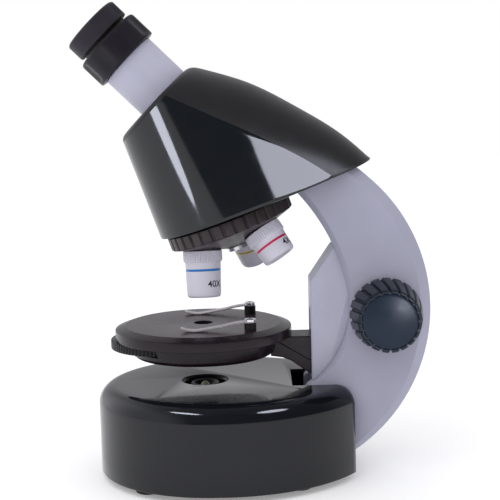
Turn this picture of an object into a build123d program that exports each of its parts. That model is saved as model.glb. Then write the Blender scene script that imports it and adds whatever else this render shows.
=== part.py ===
from build123d import *
import math
import os

# A small teaching microscope with a drum base, a crescent arm, a round stage and a three-lens nosepiece.
# Row frame: +Z up, the user sits at -Y, the arm stands at +Y, and X = 0 is the plane of symmetry.
# The model is built with Y = 0 on the optical axis. Every node is then moved by y_shift when it is written.

# ---------- driving dimensions, in millimetres and degrees ----------
foot_height = 3.0
base_height = 44.0
base_radius = 60.5
base_wall = 2.4
base_round = 9.0
arm_half_width = 18.0
arm_wall = 2.6
column_half_width = 12.0
channel_half_width = 9.2
carriage_half_width = 9.0
stage_radius = 45.0
stage_rise = 29.9
stage_travel_up = 10.5
stage_travel_down = 9.0
head_tilt = 19.4
rest_turn = -18.0
turret_radius = 32.5
hood_radius = 35.5
hood_wall = 2.4
tube_angle = 45.0
tube_radius = 15.0
running_gap = 0.05

# ---------- heights and places that follow from them ----------
base_top = foot_height + base_height
stage_top = base_top + stage_rise
base_centre_y = 6.0
base_rear_y = 75.0
base_rear_half_width = 25.5
arm_outer_centre = (27.0, base_top + 37.1)
arm_outer_radius = 87.7
arm_inner_centre = (26.2, base_top + 39.2)
arm_inner_radius = 47.6
arm_upper_radius = 100.0
arm_join_angle = 10.6
knob_y = 91.5
knob_z = base_top + 35.7
pinion_module = 0.8
pinion_teeth = 18
pinion_pitch_radius = pinion_module * pinion_teeth / 2
apex_z = base_top + 124.0
mirror_z = base_top + 130.3
hood_base_drop = 40.6
collar_start = 47.7
collar_end = 62.0
eyecup_start = 63.8
eyecup_end = 73.3
eyecup_radius = 15.75
wheel_centre_y = -17.5
wheel_radius = 30.0
clip_post_x = 24.0
clip_post_y = 24.0
clip_seat = 3.95
clip_thickness = 0.6

# drum fittings
slot_front_y = 44.4
arm_foot_z = 10.0
plate_thickness = 2.5
plate_low = foot_height
plate_high = foot_height + plate_thickness
foot_places = [(x, y) for x in (-37.0, 37.0) for y in (-28.0, 46.0)]
screw_places = [(x, y) for x in (-46.0, 46.0) for y in (-14.0, 26.0)]
tray_low_y = -31.0
tray_high_y = 15.0
tray_half_length = 28.5
cell_radius = 7.1
cell_length = 50.0
cell_axis_z = plate_high + 1.8 + cell_radius
cell_rows = [tray_low_y + 8.0 + 15.0 * row for row in range(3)]
lamp_cup_radius = 12.0
switch_z = 24.0
switch_travel = 4.0
switch_thumb = 4.0

# arm, column and focus drive
arm_bosses = [(101.0, 58.0), (98.0, 110.0), (83.0, 131.0), (87.0, 36.0)]
boss_radius = 3.6
column_foot_z = 22.0
column_rear_y = 80.0
slide_front_y = 66.0
slide_foot_z = base_top + 3.0
slide_top_z = base_top + 64.0 - stage_travel_up
rack_root_y = knob_y - pinion_pitch_radius - 1.0
shaft_radius = 2.5
knob_back_x = 20.2
knob_front_x = 42.4
knob_back_radius = 18.2
knob_front_radius = 15.0
knob_lugs = 16
knob_cap_radius = 13.6

# stage
stage_wall_bottom = base_top + 23.1
pan_bottom = base_top + 14.2
pan_radius = 38.4

# objectives: distances along each axis from the point where the three axes meet
shoulder = 56.4
objective_turns = {"40x": 0.0, "10x": 120.0, "4x": 240.0}
objective_tips = {"40x": 80.0, "10x": 75.5, "4x": 73.1}
objective_bores = {"40x": 2.0, "10x": 3.0, "4x": 4.4}
ring_top = -1.0
pivot_radius = 4.0
tilt = math.radians(head_tilt)
tilt_slope = math.tan(tilt)
cone_mid = hood_base_drop - shoulder * math.cos(tilt) - shoulder * math.sin(tilt) * tilt_slope

# hood roof: (place along the slope, crest height, half width) for each arch
roof_step = math.sqrt(0.5)
roof_stations = [
    (-66.0, 54.5, 35.7), (-16.0, 64.6, 35.7), (14.0, 63.2, 34.6), (40.0, 59.6, 27.0), (64.0, 51.5, 20.0),
]
crease_height = 41.5
hood_face = 23.1

# eyepiece
draw_radius = 13.5
barrel_radius = 11.5

# the eyecup's lip is the foremost point and the arm's back is the rearmost one
tube_sin = math.sin(math.radians(tube_angle))
front_reach = -(eyecup_end + eyecup_radius) * tube_sin
rear_reach = arm_outer_centre[0] + arm_outer_radius
y_shift = -(front_reach + rear_reach) / 2

turret_axis = Vector(0, math.sin(tilt), -math.cos(tilt))
head_origin = Vector(0, 0, apex_z) + turret_axis * hood_base_drop
# head plane: local z runs up the turret's axis, local y runs back along the hood's lower edge
head = Plane(origin=head_origin, x_dir=(1, 0, 0), z_dir=-turret_axis)
# tube plane: local z runs out along the eyepiece tube, from the fold mirror
tube = Plane(origin=(0, 0, mirror_z), x_dir=(1, 0, 0), z_dir=(0, -tube_sin, tube_sin))
# mirror plane: local z leaves the silvered face, half way between straight down and the tube
mirror_plane = Plane(origin=(0, 0, mirror_z), x_dir=(1, 0, 0), z_dir=(0, -tube_sin, tube_sin - 1))


def upright(radius, low, high, x=0.0, y=0.0):
    """Round bar along +Z between two heights."""
    return Pos(x, y, (low + high) / 2) * Cylinder(radius, high - low)


def crosswise(radius, left, right, y, z):
    """Round bar along X between two places."""
    return Pos((left + right) / 2, y, z) * Rot(0, 90, 0) * Cylinder(radius, right - left)


def block(low, high):
    size = [b - a for a, b in zip(low, high)]
    middle = [(a + b) / 2 for a, b in zip(low, high)]
    return Pos(*middle) * Box(*size)


def turned(points):
    """Solid of revolution about Z from (radius, height) points."""
    return revolve(make_face(Plane.XZ * Polyline(*points, close=True)), Axis.Z)


def side_plate(points, half_width):
    """Solid with a (y, z) outline, the same thickness each side of X = 0."""
    return extrude(make_face(Plane.YZ * Polyline(*points, close=True)), half_width, both=True)


def arc_point(centre, radius, angle):
    turn = math.radians(angle)
    return (centre[0] + radius * math.cos(turn), centre[1] + radius * math.sin(turn))


def disc_plate(plane, radius, low, high, x=0.0, y=0.0):
    return plane * upright(radius, low, high, x, y)


# ---------- base ----------
def base_outline(inset):
    """Round front, flanks that close in to a flat rear edge."""
    side = base_radius - inset
    rear = base_rear_y - inset
    corner = base_rear_half_width - inset * 0.7
    flank = (53.9 - inset * 0.86, 42.0 - inset * 0.2)
    front = ThreePointArc((side, base_centre_y), (0, base_centre_y - side), (-side, base_centre_y))
    left = ThreePointArc((-side, base_centre_y), (-flank[0], flank[1]), (-corner, rear))
    back = Line((-corner, rear), (corner, rear))
    right = ThreePointArc((corner, rear), flank, (side, base_centre_y))
    return make_face(front + left + back + right)


def base_shell():
    outer = extrude(Pos(0, 0, foot_height) * base_outline(0), base_height)
    outer = fillet(outer.faces().sort_by(Axis.Z)[-1].edges(), base_round)
    inner = extrude(Pos(0, 0, foot_height) * base_outline(base_wall), base_height - base_wall)
    inner = fillet(inner.faces().sort_by(Axis.Z)[-1].edges(), base_round - base_wall)
    shell = outer - inner
    arm_opening = block(
        (-arm_half_width - 0.6, slot_front_y, arm_foot_z - 0.5),
        (arm_half_width + 0.6, base_rear_y + 1, base_top + 1),
    )
    lamp_hole = upright(lamp_cup_radius + 0.1, base_top - base_wall - 1, base_top + 1)
    shelf = block((-22, 50, arm_foot_z - 3), (22, base_rear_y - 1, arm_foot_z))
    shelf_webs = block((-22, 50, plate_high), (-19, base_rear_y - 1, arm_foot_z))
    shelf_webs = shelf_webs + block((19, 50, plate_high), (22, base_rear_y - 1, arm_foot_z))
    return shell - arm_opening - lamp_hole - switch_slot() + shelf + shelf_webs


def switch_slot():
    length = switch_thumb + switch_travel + 0.6
    middle = base_centre_y + switch_travel / 2
    return block(
        (-base_radius - 1, middle - length / 2, switch_z - 2.3),
        (-base_radius + base_wall + 1, middle + length / 2, switch_z + 2.3),
    )


def base_plate():
    plate = extrude(Pos(0, 0, plate_low) * base_outline(base_wall + 0.1), plate_thickness)
    door_opening = block(
        (-tray_half_length, tray_low_y, plate_low - 1), (tray_half_length, tray_high_y, plate_high + 1)
    )
    plate = plate - door_opening
    for x, y in screw_places:
        plate = plate - upright(1.6, plate_low - 1, plate_high + 1, x, y)
        plate = plate - Pos(x, y, plate_low + 0.65) * Cone(3.3, 1.6, 1.4)
    return plate


def countersunk_screw(x, y, low, length, head_radius=3.0, shank_radius=1.5):
    """Flat-head screw driven upwards, with a cross recess in its head."""
    head_part = Pos(x, y, low + 0.6) * Cone(head_radius, shank_radius, 1.2)
    shank = upright(shank_radius, low + 0.6, low + length, x, y)
    recess_a = block((x - 1.8, y - 0.35, low - 0.1), (x + 1.8, y + 0.35, low + 0.7))
    recess_b = block((x - 0.35, y - 1.8, low - 0.1), (x + 0.35, y + 1.8, low + 0.7))
    return head_part + shank - recess_a - recess_b


def group(solids):
    return Compound(children=solids)


def base_screws():
    return group([countersunk_screw(x, y, plate_low + 0.05, 9.0) for x, y in screw_places])


def screw_posts():
    """Posts under the drum's top that the base screws bite into."""
    posts = []
    for x, y in screw_places:
        post = upright(3.6, plate_high, base_top - base_wall, x, y)
        posts.append(post - upright(1.5, plate_high - 1, plate_high + 8, x, y))
    return posts


def rubber_feet():
    feet = []
    for x, y in foot_places:
        foot = upright(6.5, 0, foot_height, x, y)
        feet.append(fillet(foot.edges().sort_by(Axis.Z)[0], 1.0))
    return group(feet)


def battery_door():
    door = block(
        (-tray_half_length + 0.2, tray_low_y + 0.2, plate_low),
        (tray_half_length - 0.2, tray_high_y - 0.2, plate_low + 2.0),
    )
    door = fillet(door.edges().filter_by(Axis.Z), 2.0)
    for step in range(5):
        y = tray_high_y - 10.0 + step * 1.6
        door = door - block((-9, y, plate_low - 0.1), (9, y + 0.7, plate_low + 0.5))
    door = door - Pos(0, tray_low_y + 5, plate_low + 0.6) * Cone(2.9, 1.4, 1.3)
    return door - upright(1.4, plate_low - 1, plate_high, 0, tray_low_y + 5)


def battery_door_screw():
    return countersunk_screw(0, tray_low_y + 5, plate_low + 0.05, 3.6, 2.6, 1.3)


def battery_tray():
    low = plate_high + 0.1
    side = tray_half_length
    outer = block((-side - 1.6, tray_low_y - 1.6, low), (side + 1.6, tray_high_y + 1.6, low + 18.0))
    inner = block((-side, tray_low_y, low - 1), (side, tray_high_y, low + 16.4))
    return outer - inner


def battery_cells():
    cells = []
    for row, y in enumerate(cell_rows):
        side = 1 if row % 2 == 0 else -1
        cell = crosswise(cell_radius, -cell_length / 2 + 1, cell_length / 2 - 1, y, cell_axis_z)
        near = side * (cell_length / 2 - 1)
        nub = crosswise(2.6, min(near, near + side), max(near, near + side), y, cell_axis_z)
        cells.append(cell + nub)
    return group(cells)


def battery_contacts():
    """A flat plate at one end of each cell and a coil spring's cone at the other."""
    pieces = []
    for row, y in enumerate(cell_rows):
        side = 1 if row % 2 == 0 else -1
        for end in (-1, 1):
            wall = end * (tray_half_length - 0.5)
            plate = block((wall - 0.3, y - 5, cell_axis_z - 5), (wall + 0.3, y + 5, cell_axis_z + 5))
            if end != side:
                spring = Pos(end * (tray_half_length - 2.4), y, cell_axis_z) * Rot(0, 90 * end, 0)
                plate = plate + spring * Cone(2.2, 4.0, 3.4)
            pieces.append(plate)
    return group(pieces)


# ---------- lamp ----------
def lamp_cup():
    return turned([
        (0, base_top - 8), (lamp_cup_radius - 1.5, base_top - 8), (lamp_cup_radius, base_top - 6),
        (lamp_cup_radius, base_top - 0.6), (lamp_cup_radius - 1.2, base_top - 0.6),
        (lamp_cup_radius - 1.2, base_top - 4.6), (7.2, base_top - 4.6), (7.2, base_top - 1.2),
        (5.8, base_top - 1.2), (4.4, base_top - 5.2), (2.7, base_top - 5.2), (2.7, base_top - 6.4),
        (0, base_top - 6.4),
    ])


def lamp_led():
    return upright(2.5, base_top - 6.4, base_top - 3.2) + Pos(0, 0, base_top - 3.2) * Sphere(2.5)


def lamp_board():
    return upright(10.0, base_top - 9.7, base_top - 8.1)


# ---------- power switch ----------
def switch_body():
    inner_x = -base_radius + base_wall
    middle = base_centre_y + switch_travel / 2
    body = block((inner_x + 2.2, middle - 8, switch_z - 4), (inner_x + 8.2, middle + 8, switch_z + 4))
    track = block((inner_x + 2.1, middle - 5, switch_z - 2.2), (inner_x + 4.6, middle + 5, switch_z + 2.2))
    lugs = block((inner_x + 2.2, middle - 11, switch_z - 3), (inner_x + 3.2, middle + 11, switch_z + 3))
    return body + lugs - track


def power_switch():
    inner_x = -base_radius + base_wall
    thumb = block(
        (-base_radius + 0.2, base_centre_y - switch_thumb / 2, switch_z - 1.9),
        (inner_x + 4.4, base_centre_y + switch_thumb / 2, switch_z + 1.9),
    )
    for step in (-1.2, 0, 1.2):
        groove_y = base_centre_y + step
        thumb = thumb - block(
            (-base_radius, groove_y - 0.2, switch_z - 2), (-base_radius + 0.6, groove_y + 0.2, switch_z + 2)
        )
    return thumb


# ---------- arm ----------
def arm_profile(inset):
    """Crescent between one outer arc and two inner arcs that meet tangentially."""
    outer = arm_outer_radius - inset
    inner = arm_inner_radius + inset
    upper = arm_upper_radius + inset
    gap = arm_upper_radius - arm_inner_radius
    upper_centre = arc_point(arm_inner_centre, -gap, arm_join_angle)
    rear = Pos(*arm_outer_centre) * Circle(outer)
    low_cut = Pos(*arm_inner_centre) * Circle(inner)
    high_cut = Pos(*upper_centre) * Circle(upper)
    join_y, join_z = arc_point(arm_inner_centre, inner, arm_join_angle)
    above = Pos(join_y - 150, join_z + 150 - 0.001) * Rectangle(600, 300)
    low_band = Pos(arm_inner_centre[0] + 25, join_z - 100) * Rectangle(300, 200)
    crescent = rear - (high_cut & above) - (low_cut & low_band)
    keep = Pos(arm_inner_centre[0] + 25 + 60, arm_foot_z + inset + 150) * Rectangle(120, 300)
    return crescent & keep


def head_underside():
    """Everything below the hood's lower edge."""
    return head * Pos(0, 0, -200) * Box(400, 400, 400)


def side_arcs(solid, radius):
    """Arc edges of one radius round the two flat sides of a crescent."""
    edges = solid.faces().filter_by(Axis.X).edges().filter_by(GeomType.CIRCLE)
    return [edge for edge in edges if abs(edge.radius - radius) < 0.5]


def arm_body():
    solid = extrude(Plane.YZ * arm_profile(0), arm_half_width, both=True)
    solid = chamfer(side_arcs(solid, arm_outer_radius), 5.4)
    inner_arcs = side_arcs(solid, arm_upper_radius) + side_arcs(solid, arm_inner_radius)
    solid = chamfer(inner_arcs, 2.6)
    hollow = extrude(Plane.YZ * arm_profile(arm_wall), arm_half_width - arm_wall, both=True)
    hollow = chamfer(side_arcs(hollow, arm_outer_radius - arm_wall), 4.4)
    return (solid - hollow) & head_underside()


def column_outline(grow):
    """Guide column from inside the drum up to its sloping shoulder."""
    front = 54.5 - grow
    return [
        (front, column_foot_z), (front, base_top + 51 + grow / 2), (66.5 - grow, base_top + 68.5 + grow),
        (column_rear_y + grow, base_top + 68.5 + grow), (column_rear_y + grow, column_foot_z),
    ]


def arm_half(side):
    shell = arm_body()
    boss_end = arm_half_width - arm_wall + 0.5
    for y, z in arm_bosses:
        shell = shell + crosswise(boss_radius, -boss_end, boss_end, y, z)
    shell = shell - side_plate(column_outline(0.05), column_half_width + 0.05)
    # the carriage's gusset sinks into this slot as the stage goes down
    slot_floor = slide_foot_z - stage_travel_down - 1.5
    shell = shell - block((-channel_half_width, 40, slot_floor), (channel_half_width, 56, stage_wall_bottom))
    shell = shell - crosswise(5.05, -arm_half_width - 1, arm_half_width + 1, knob_y, knob_z)
    for y, z in arm_bosses:
        shell = shell - crosswise(1.45, -arm_half_width - 1, 9, y, z)
        shell = shell - crosswise(3.1, -arm_half_width - 1, -arm_half_width + 1.6, y, z)
    if side < 0:
        return shell & block((-40, 0, 0), (0, 200, 300))
    return shell & block((0, 0, 0), (40, 200, 300))


def arm_screws():
    """Pan-head screws sunk in the left half of the arm."""
    screws = []
    for y, z in arm_bosses:
        head_part = crosswise(3.0, -arm_half_width + 0.1, -arm_half_width + 1.6, y, z)
        shank = crosswise(1.45, -arm_half_width + 1.6, 9, y, z)
        recess_a = block((-arm_half_width, y - 1.8, z - 0.35), (-arm_half_width + 0.9, y + 1.8, z + 0.35))
        recess_b = block((-arm_half_width, y - 0.35, z - 1.8), (-arm_half_width + 0.9, y + 0.35, z + 1.8))
        screws.append(head_part + shank - recess_a - recess_b)
    return group(screws)


def guide_column():
    """Channel with two cheeks, open at the rear towards the pinion and at the front for the carriage."""
    solid = side_plate(column_outline(0), column_half_width)
    ceiling = base_top + 65.6
    cavity = side_plate([
        (57, column_foot_z - 1), (57, base_top + 49.8), (68, ceiling),
        (column_rear_y + 1, ceiling), (column_rear_y + 1, column_foot_z - 1),
    ], channel_half_width)
    slot_low = column_foot_z - 1
    front_slot = block((-channel_half_width, 50, slot_low), (channel_half_width, 58, base_top + 36.5))
    return solid - cavity - front_slot


# ---------- focus drive ----------
def involute(angle):
    return math.tan(angle) - angle


def pinion():
    pressure = math.radians(20)
    base_circle = pinion_pitch_radius * math.cos(pressure)
    tooth_angle = (math.pi * pinion_module / 2 - 0.3) / (2 * pinion_pitch_radius)
    radii = [base_circle, pinion_pitch_radius, pinion_pitch_radius + 0.4, pinion_pitch_radius + 0.76]
    outline = []
    for tooth in range(pinion_teeth):
        middle = 2 * math.pi * tooth / pinion_teeth
        flank = []
        for radius in radii:
            half = tooth_angle + involute(pressure) - involute(math.acos(base_circle / radius))
            flank.append((radius, half))
        flank = [(pinion_pitch_radius - 1.0, flank[0][1])] + flank
        outline += [(r * math.cos(middle - h), r * math.sin(middle - h)) for r, h in flank]
        outline += [(r * math.cos(middle + h), r * math.sin(middle + h)) for r, h in reversed(flank)]
    outline = [(knob_y + y, knob_z + z) for y, z in outline]
    gear = side_plate(outline, 4.0)
    hub = crosswise(4.6, 4.0, 8.0, knob_y, knob_z)
    return gear + hub - crosswise(shaft_radius, -10, 10, knob_y, knob_z)


def focus_shaft():
    shaft = crosswise(shaft_radius, -knob_front_x + 3.5, knob_front_x - 3.5, knob_y, knob_z)
    return chamfer(shaft.edges(), 0.4)


def shaft_bushes():
    bushes = []
    for side in (-1, 1):
        near = side * (arm_half_width - arm_wall - 1.0)
        face = side * arm_half_width
        lip = side * (arm_half_width + 1.2)
        sleeve = crosswise(5.0, min(near, face), max(near, face), knob_y, knob_z)
        flange = crosswise(7.0, min(face, lip), max(face, lip), knob_y, knob_z)
        bushes.append(sleeve + flange - crosswise(shaft_radius + running_gap, -50, 50, knob_y, knob_z))
    return group(bushes)


def friction_washers():
    washers = []
    for side in (-1, 1):
        a = side * (arm_half_width + 1.25)
        b = side * (knob_back_x - 0.05)
        ring = crosswise(6.0, min(a, b), max(a, b), knob_y, knob_z)
        washers.append(ring - crosswise(shaft_radius + 0.02, -50, 50, knob_y, knob_z))
    return group(washers)


def focus_knob(side):
    """Cupped knob with slanted grip lugs, built for the right side and mirrored for the left."""
    core = revolve(make_face(Polyline(
        (0, knob_back_x), (knob_back_radius - 2.4, knob_back_x),
        (knob_front_radius - 0.9, knob_front_x - 0.9), (knob_front_radius - 1.6, knob_front_x),
        (0, knob_front_x), close=True)), Axis.Y)
    for lug in range(knob_lugs):
        rib = Pos(0, (knob_back_x + knob_front_x) / 2, 0) * Rot(-8.2, 0, 0)
        rib = Rot(0, 360 / knob_lugs * lug, 0) * Pos(0, 0, knob_back_radius - 3.6) * rib * Rot(0, 0, 9)
        core = core + rib * Pos(0, -0.9, 0) * Box(3.6, knob_front_x - knob_back_x - 3.2, 4.0)
    core = core & (Pos(0, (knob_back_x + knob_front_x) / 2, 0) * Rot(-90, 0, 0)
                   * Cone(knob_back_radius, knob_front_radius, knob_front_x - knob_back_x))
    seat = Pos(0, knob_front_x - 0.9, 0) * Rot(90, 0, 0) * Cylinder(knob_cap_radius, 2)
    bore = Pos(0, knob_front_x / 2, 0) * Rot(90, 0, 0) * Cylinder(shaft_radius, knob_front_x - 7)
    core = core - seat - bore
    turned_out = Rot(0, 0, -90) * core if side > 0 else Rot(0, 0, 90) * core
    return Pos(0, knob_y, knob_z) * turned_out


def knob_cap(side):
    """Shallow dome let into the knob's outer face."""
    back = knob_front_x - 1.9
    rim = knob_front_x + 0.2
    dome_rise = 1.5
    dome_radius = (knob_cap_radius ** 2 + dome_rise ** 2) / (2 * dome_rise)
    disc = crosswise(knob_cap_radius, back, rim + dome_rise + 1, 0, 0)
    dome = disc & Pos(rim + dome_rise - dome_radius, 0, 0) * Sphere(dome_radius)
    turned_out = dome if side > 0 else Rot(0, 0, 180) * dome
    return Pos(0, knob_y, knob_z) * turned_out


# ---------- stage ----------
def stage_carriage():
    """Slide with a rack behind and an arched gusset in front that carries the stage."""
    slide_back_y = rack_root_y - 1.5
    slide = side_plate([
        (slide_front_y, slide_foot_z), (slide_front_y, slide_top_z - 2.5), (slide_front_y + 1.6, slide_top_z),
        (slide_back_y, slide_top_z), (slide_back_y, slide_foot_z),
    ], carriage_half_width)
    spine = block((-4.5, rack_root_y - 2, base_top + 18), (4.5, rack_root_y, slide_top_z))
    gusset = side_plate([
        (34, stage_wall_bottom), (34, base_top + 13.2), (40, base_top + 12.3), (44.5, base_top + 10.4),
        (48, base_top + 7.8), (51.5, base_top + 5.2), (54.5, base_top + 3.4), (slide_front_y, slide_foot_z),
        (slide_front_y, stage_wall_bottom),
    ], carriage_half_width)
    solid = slide + spine + gusset - upright(pan_radius + 0.05, pan_bottom - 5, stage_top)
    pitch = math.pi * pinion_module
    for step in range(-7, 6):
        middle = knob_z + (step + 0.5) * pitch
        root = pitch / 4 - 0.15 + 1.0 * math.tan(math.radians(20))
        tip = pitch / 4 - 0.15 - 0.76 * math.tan(math.radians(20))
        tooth = side_plate([
            (rack_root_y - 0.2, middle - root), (rack_root_y, middle - root),
            (rack_root_y + 1.76, middle - tip), (rack_root_y + 1.76, middle + tip),
            (rack_root_y, middle + root), (rack_root_y - 0.2, middle + root),
        ], 4.5)
        solid = solid + tooth
    for x in (-5.5, 5.5):
        solid = solid - upright(1.5, stage_wall_bottom - 8, stage_wall_bottom + 1, x, 41.6)
    return solid


def stage_plate():
    top = stage_top
    wall_low = stage_wall_bottom + 0.05
    plate = turned([
        (4.85, top), (stage_radius - 5.25, top), (stage_radius, top - 1.8), (stage_radius, wall_low),
        (stage_radius - 2.6, wall_low), (stage_radius - 2.6, top - 4.2), (pan_radius - 4, top - 4.2),
        (pan_radius - 4, top - 3), (4.85, top - 3),
    ])
    rear_pad = block((-carriage_half_width, 36.5, wall_low), (carriage_half_width, 43.6, top - 3.5))
    pivot_boss = upright(4, stage_wall_bottom + 0.3, top - 2.5, 0, wheel_centre_y)
    plate = plate + rear_pad + pivot_boss
    plate = plate - upright(1.5, stage_wall_bottom - 1, top - 3.2, 0, wheel_centre_y)
    for x in (-5.5, 5.5):
        plate = plate - upright(1.5, stage_wall_bottom - 1, stage_wall_bottom + 3.0, x, 41.6)
    for x in (-clip_post_x, clip_post_x):
        plate = plate + upright(3.4, top - 5.2, top - 2.5, x, clip_post_y)
        plate = plate - upright(1.4, top - 4.6, top + 1, x, clip_post_y)
    return plate


def stage_pan():
    low = pan_bottom
    pan = turned([
        (7, low), (pan_radius - 3.4, low), (pan_radius - 1.4, low + 1.6), (pan_radius, stage_wall_bottom),
        (pan_radius - 1.6, stage_wall_bottom), (pan_radius - 2.8, low + 2.6), (pan_radius - 4, low + 1.8),
        (7, low + 1.8),
    ])
    wheel_slot = upright(wheel_radius + 0.8, base_top + 18.0, stage_wall_bottom + 1, 0, wheel_centre_y)
    return pan - wheel_slot


def stage_screws():
    """Two screws that go up through the carriage's shoulder into the plate."""
    return group([upright(1.5, stage_wall_bottom - 7, stage_wall_bottom + 3, x, 41.6) for x in (-5.5, 5.5)])


def clip_posts():
    posts = []
    for x in (-clip_post_x, clip_post_x):
        post = upright(3.0, stage_top, stage_top + 3.9, x, clip_post_y)
        for rib in range(14):
            place_x, place_y = arc_point((x, clip_post_y), 3.05, 360 / 14 * rib)
            post = post - upright(0.28, stage_top + 0.3, stage_top + 4, place_x, place_y)
        posts.append(post - upright(1.4, stage_top - 1, stage_top + 5, x, clip_post_y))
    return group(posts)


def clip_screws():
    screws = []
    low = stage_top + clip_seat + clip_thickness + running_gap
    for x in (-clip_post_x, clip_post_x):
        head_part = upright(2.9, low, low + 0.7, x, clip_post_y)
        head_part = head_part + Pos(x, clip_post_y, low + 1.1) * Cone(2.9, 1.7, 0.8)
        shank = upright(1.4, stage_top - 4.4, low, x, clip_post_y)
        slot_a = block((x - 3, clip_post_y - 0.3, low + 0.7), (x + 3, clip_post_y + 0.3, low + 2))
        slot_b = block((x - 0.3, clip_post_y - 3, low + 0.7), (x + 0.3, clip_post_y + 3, low + 2))
        screws.append(head_part + shank - slot_a - slot_b)
    return group(screws)


def stage_clip(x):
    """Spring strip: flat eye on its post, a slope down to the stage, and an upturned tip."""
    seat = stage_top + clip_seat
    low = stage_top + 0.15
    t = clip_thickness
    strip = Pos(x, 0, 0) * side_plate([
        (clip_post_y, seat), (clip_post_y - 4, seat), (clip_post_y - 13, seat - 1.6), (-1, low), (-6, low),
        (-10.4, low + 1.5), (-10.7, low + 1.5 + t), (-6, low + t), (-1, low + t),
        (clip_post_y - 13, seat - 1.6 + t), (clip_post_y - 4, seat + t), (clip_post_y, seat + t),
    ], 2.9)
    eye = upright(2.9, seat, seat + t, x, clip_post_y)
    return strip + eye - upright(1.4 + running_gap, seat - 1, seat + 2, x, clip_post_y)


def diaphragm_wheel():
    """Disc with a grip rim and six light holes of growing size."""
    low = base_top + 18.6
    high = base_top + 22.9
    web = upright(wheel_radius, high - 1.4, high, 0, wheel_centre_y)
    rim = upright(wheel_radius, low, high, 0, wheel_centre_y)
    rim = rim - upright(wheel_radius - 2.2, low - 1, high + 1, 0, wheel_centre_y)
    wheel = web + rim - upright(1.9 + running_gap, low - 1, high + 1, 0, wheel_centre_y)
    for index, hole in enumerate((4.5, 3.6, 2.7, 1.9, 1.2, 0.7)):
        x, y = arc_point((0, wheel_centre_y), -wheel_centre_y, 90 + 60 * index)
        wheel = wheel - upright(hole, low, high + 1, x, y)
    for notch in range(60):
        x, y = arc_point((0, wheel_centre_y), wheel_radius + 0.1, 6 * notch)
        wheel = wheel - upright(0.4, low - 1, high + 1, x, y)
    return wheel


def diaphragm_pivot():
    low = base_top + 18.6
    collar = upright(1.9, base_top + 21.4, stage_wall_bottom + 0.3, 0, wheel_centre_y)
    head_part = upright(3.2, low + 1.4, base_top + 21.4, 0, wheel_centre_y)
    return head_part + collar + upright(1.5, stage_wall_bottom, stage_top - 3.4, 0, wheel_centre_y)


# ---------- nosepiece ----------
def cone_height(radius, lift=0.0):
    """Height of the nosepiece's conical underside, square to each objective."""
    return cone_mid + radius * tilt_slope + lift


def objective_plane(turn):
    """Local z runs down an objective's axis from the point where all three axes meet."""
    angle = math.radians(rest_turn + turn)
    x = -math.sin(tilt) * math.sin(angle)
    y = math.sin(tilt) * math.cos(tilt) * (1 - math.cos(angle))
    z = -(math.cos(tilt) ** 2 + math.sin(tilt) ** 2 * math.cos(angle))
    return Plane(origin=(0, 0, apex_z), x_dir=Vector(0, 1, 0).cross(Vector(x, y, z)), z_dir=(x, y, z))


def nosepiece_turret():
    hub = pivot_radius + running_gap
    flat = cone_height(6.3)
    rim = turret_radius - 2.4
    shape = head * turned([
        (hub, ring_top), (9, ring_top), (9, cone_height(9, 2.6)), (rim, cone_height(rim, 2.6)),
        (rim, ring_top), (turret_radius, ring_top), (turret_radius, cone_height(turret_radius)),
        (6.3, flat), (hub, flat),
    ])
    for turn in objective_turns.values():
        shape = shape - objective_plane(turn) * upright(6.0, shoulder - 12, shoulder + 12)
    return shape


def objective(name):
    tip = objective_tips[name]
    bore = objective_bores[name]
    low = shoulder
    outline = [
        (bore, low - 4.5), (6.0, low - 4.5), (6.0, low), (9.2, low), (9.8, low + 0.5), (9.9, low + 5.2),
        (9.5, low + 5.8), (9.0, low + 5.8), (8.6, tip - 0.9), (7.8, tip), (bore + 1.8, tip),
        (bore, tip - 1.6),
    ]
    return objective_plane(objective_turns[name]) * turned(outline)


def front_lens(name):
    tip = objective_tips[name]
    bore = objective_bores[name]
    lens = upright(bore, tip - 4.4, tip - 1.9) + Pos(0, 0, tip - 1.9 - 0.6) * Cylinder(bore * 0.8, 2.2)
    return objective_plane(objective_turns[name]) * lens


def nosepiece_pivot():
    flat = cone_height(6.3)
    return (disc_plate(head, pivot_radius, flat - 0.1, 3.0) + disc_plate(head, 6.0, flat - 1.8, flat - 0.1)
            + disc_plate(head, 2.6, 3.0, 8.0))


def click_spring():
    """Leaf under the hood's plate with a ball that drops into the nosepiece's rim."""
    leaf = head * block((-3, 13, -0.6), (3, 27.4, 0))
    return leaf + head * Pos(0, 25.6, -1.8) * Sphere(1.5)


# ---------- hood ----------
def hood_footprint(inset):
    """Round front that follows the nosepiece, and flanks that close to a blunt tip."""
    w = hood_radius - inset
    shoulder_y = 28.0
    flank = (26.0 - inset * 0.9, 56.0 - inset * 0.4)
    nose = (9.0 - inset * 0.6, 75.5 - inset * 0.8)
    tip_y = 79.6 - inset
    front = ThreePointArc((w, 0), (0, -w), (-w, 0))
    left_nose = (-nose[0], nose[1])
    left = Line((-w, 0), (-w, shoulder_y)) + ThreePointArc((-w, shoulder_y), (-flank[0], flank[1]), left_nose)
    tip = ThreePointArc(left_nose, (0, tip_y), nose)
    right = ThreePointArc(nose, flank, (w, shoulder_y)) + Line((w, shoulder_y), (w, 0))
    return make_face(front + left + tip + right)


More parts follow.
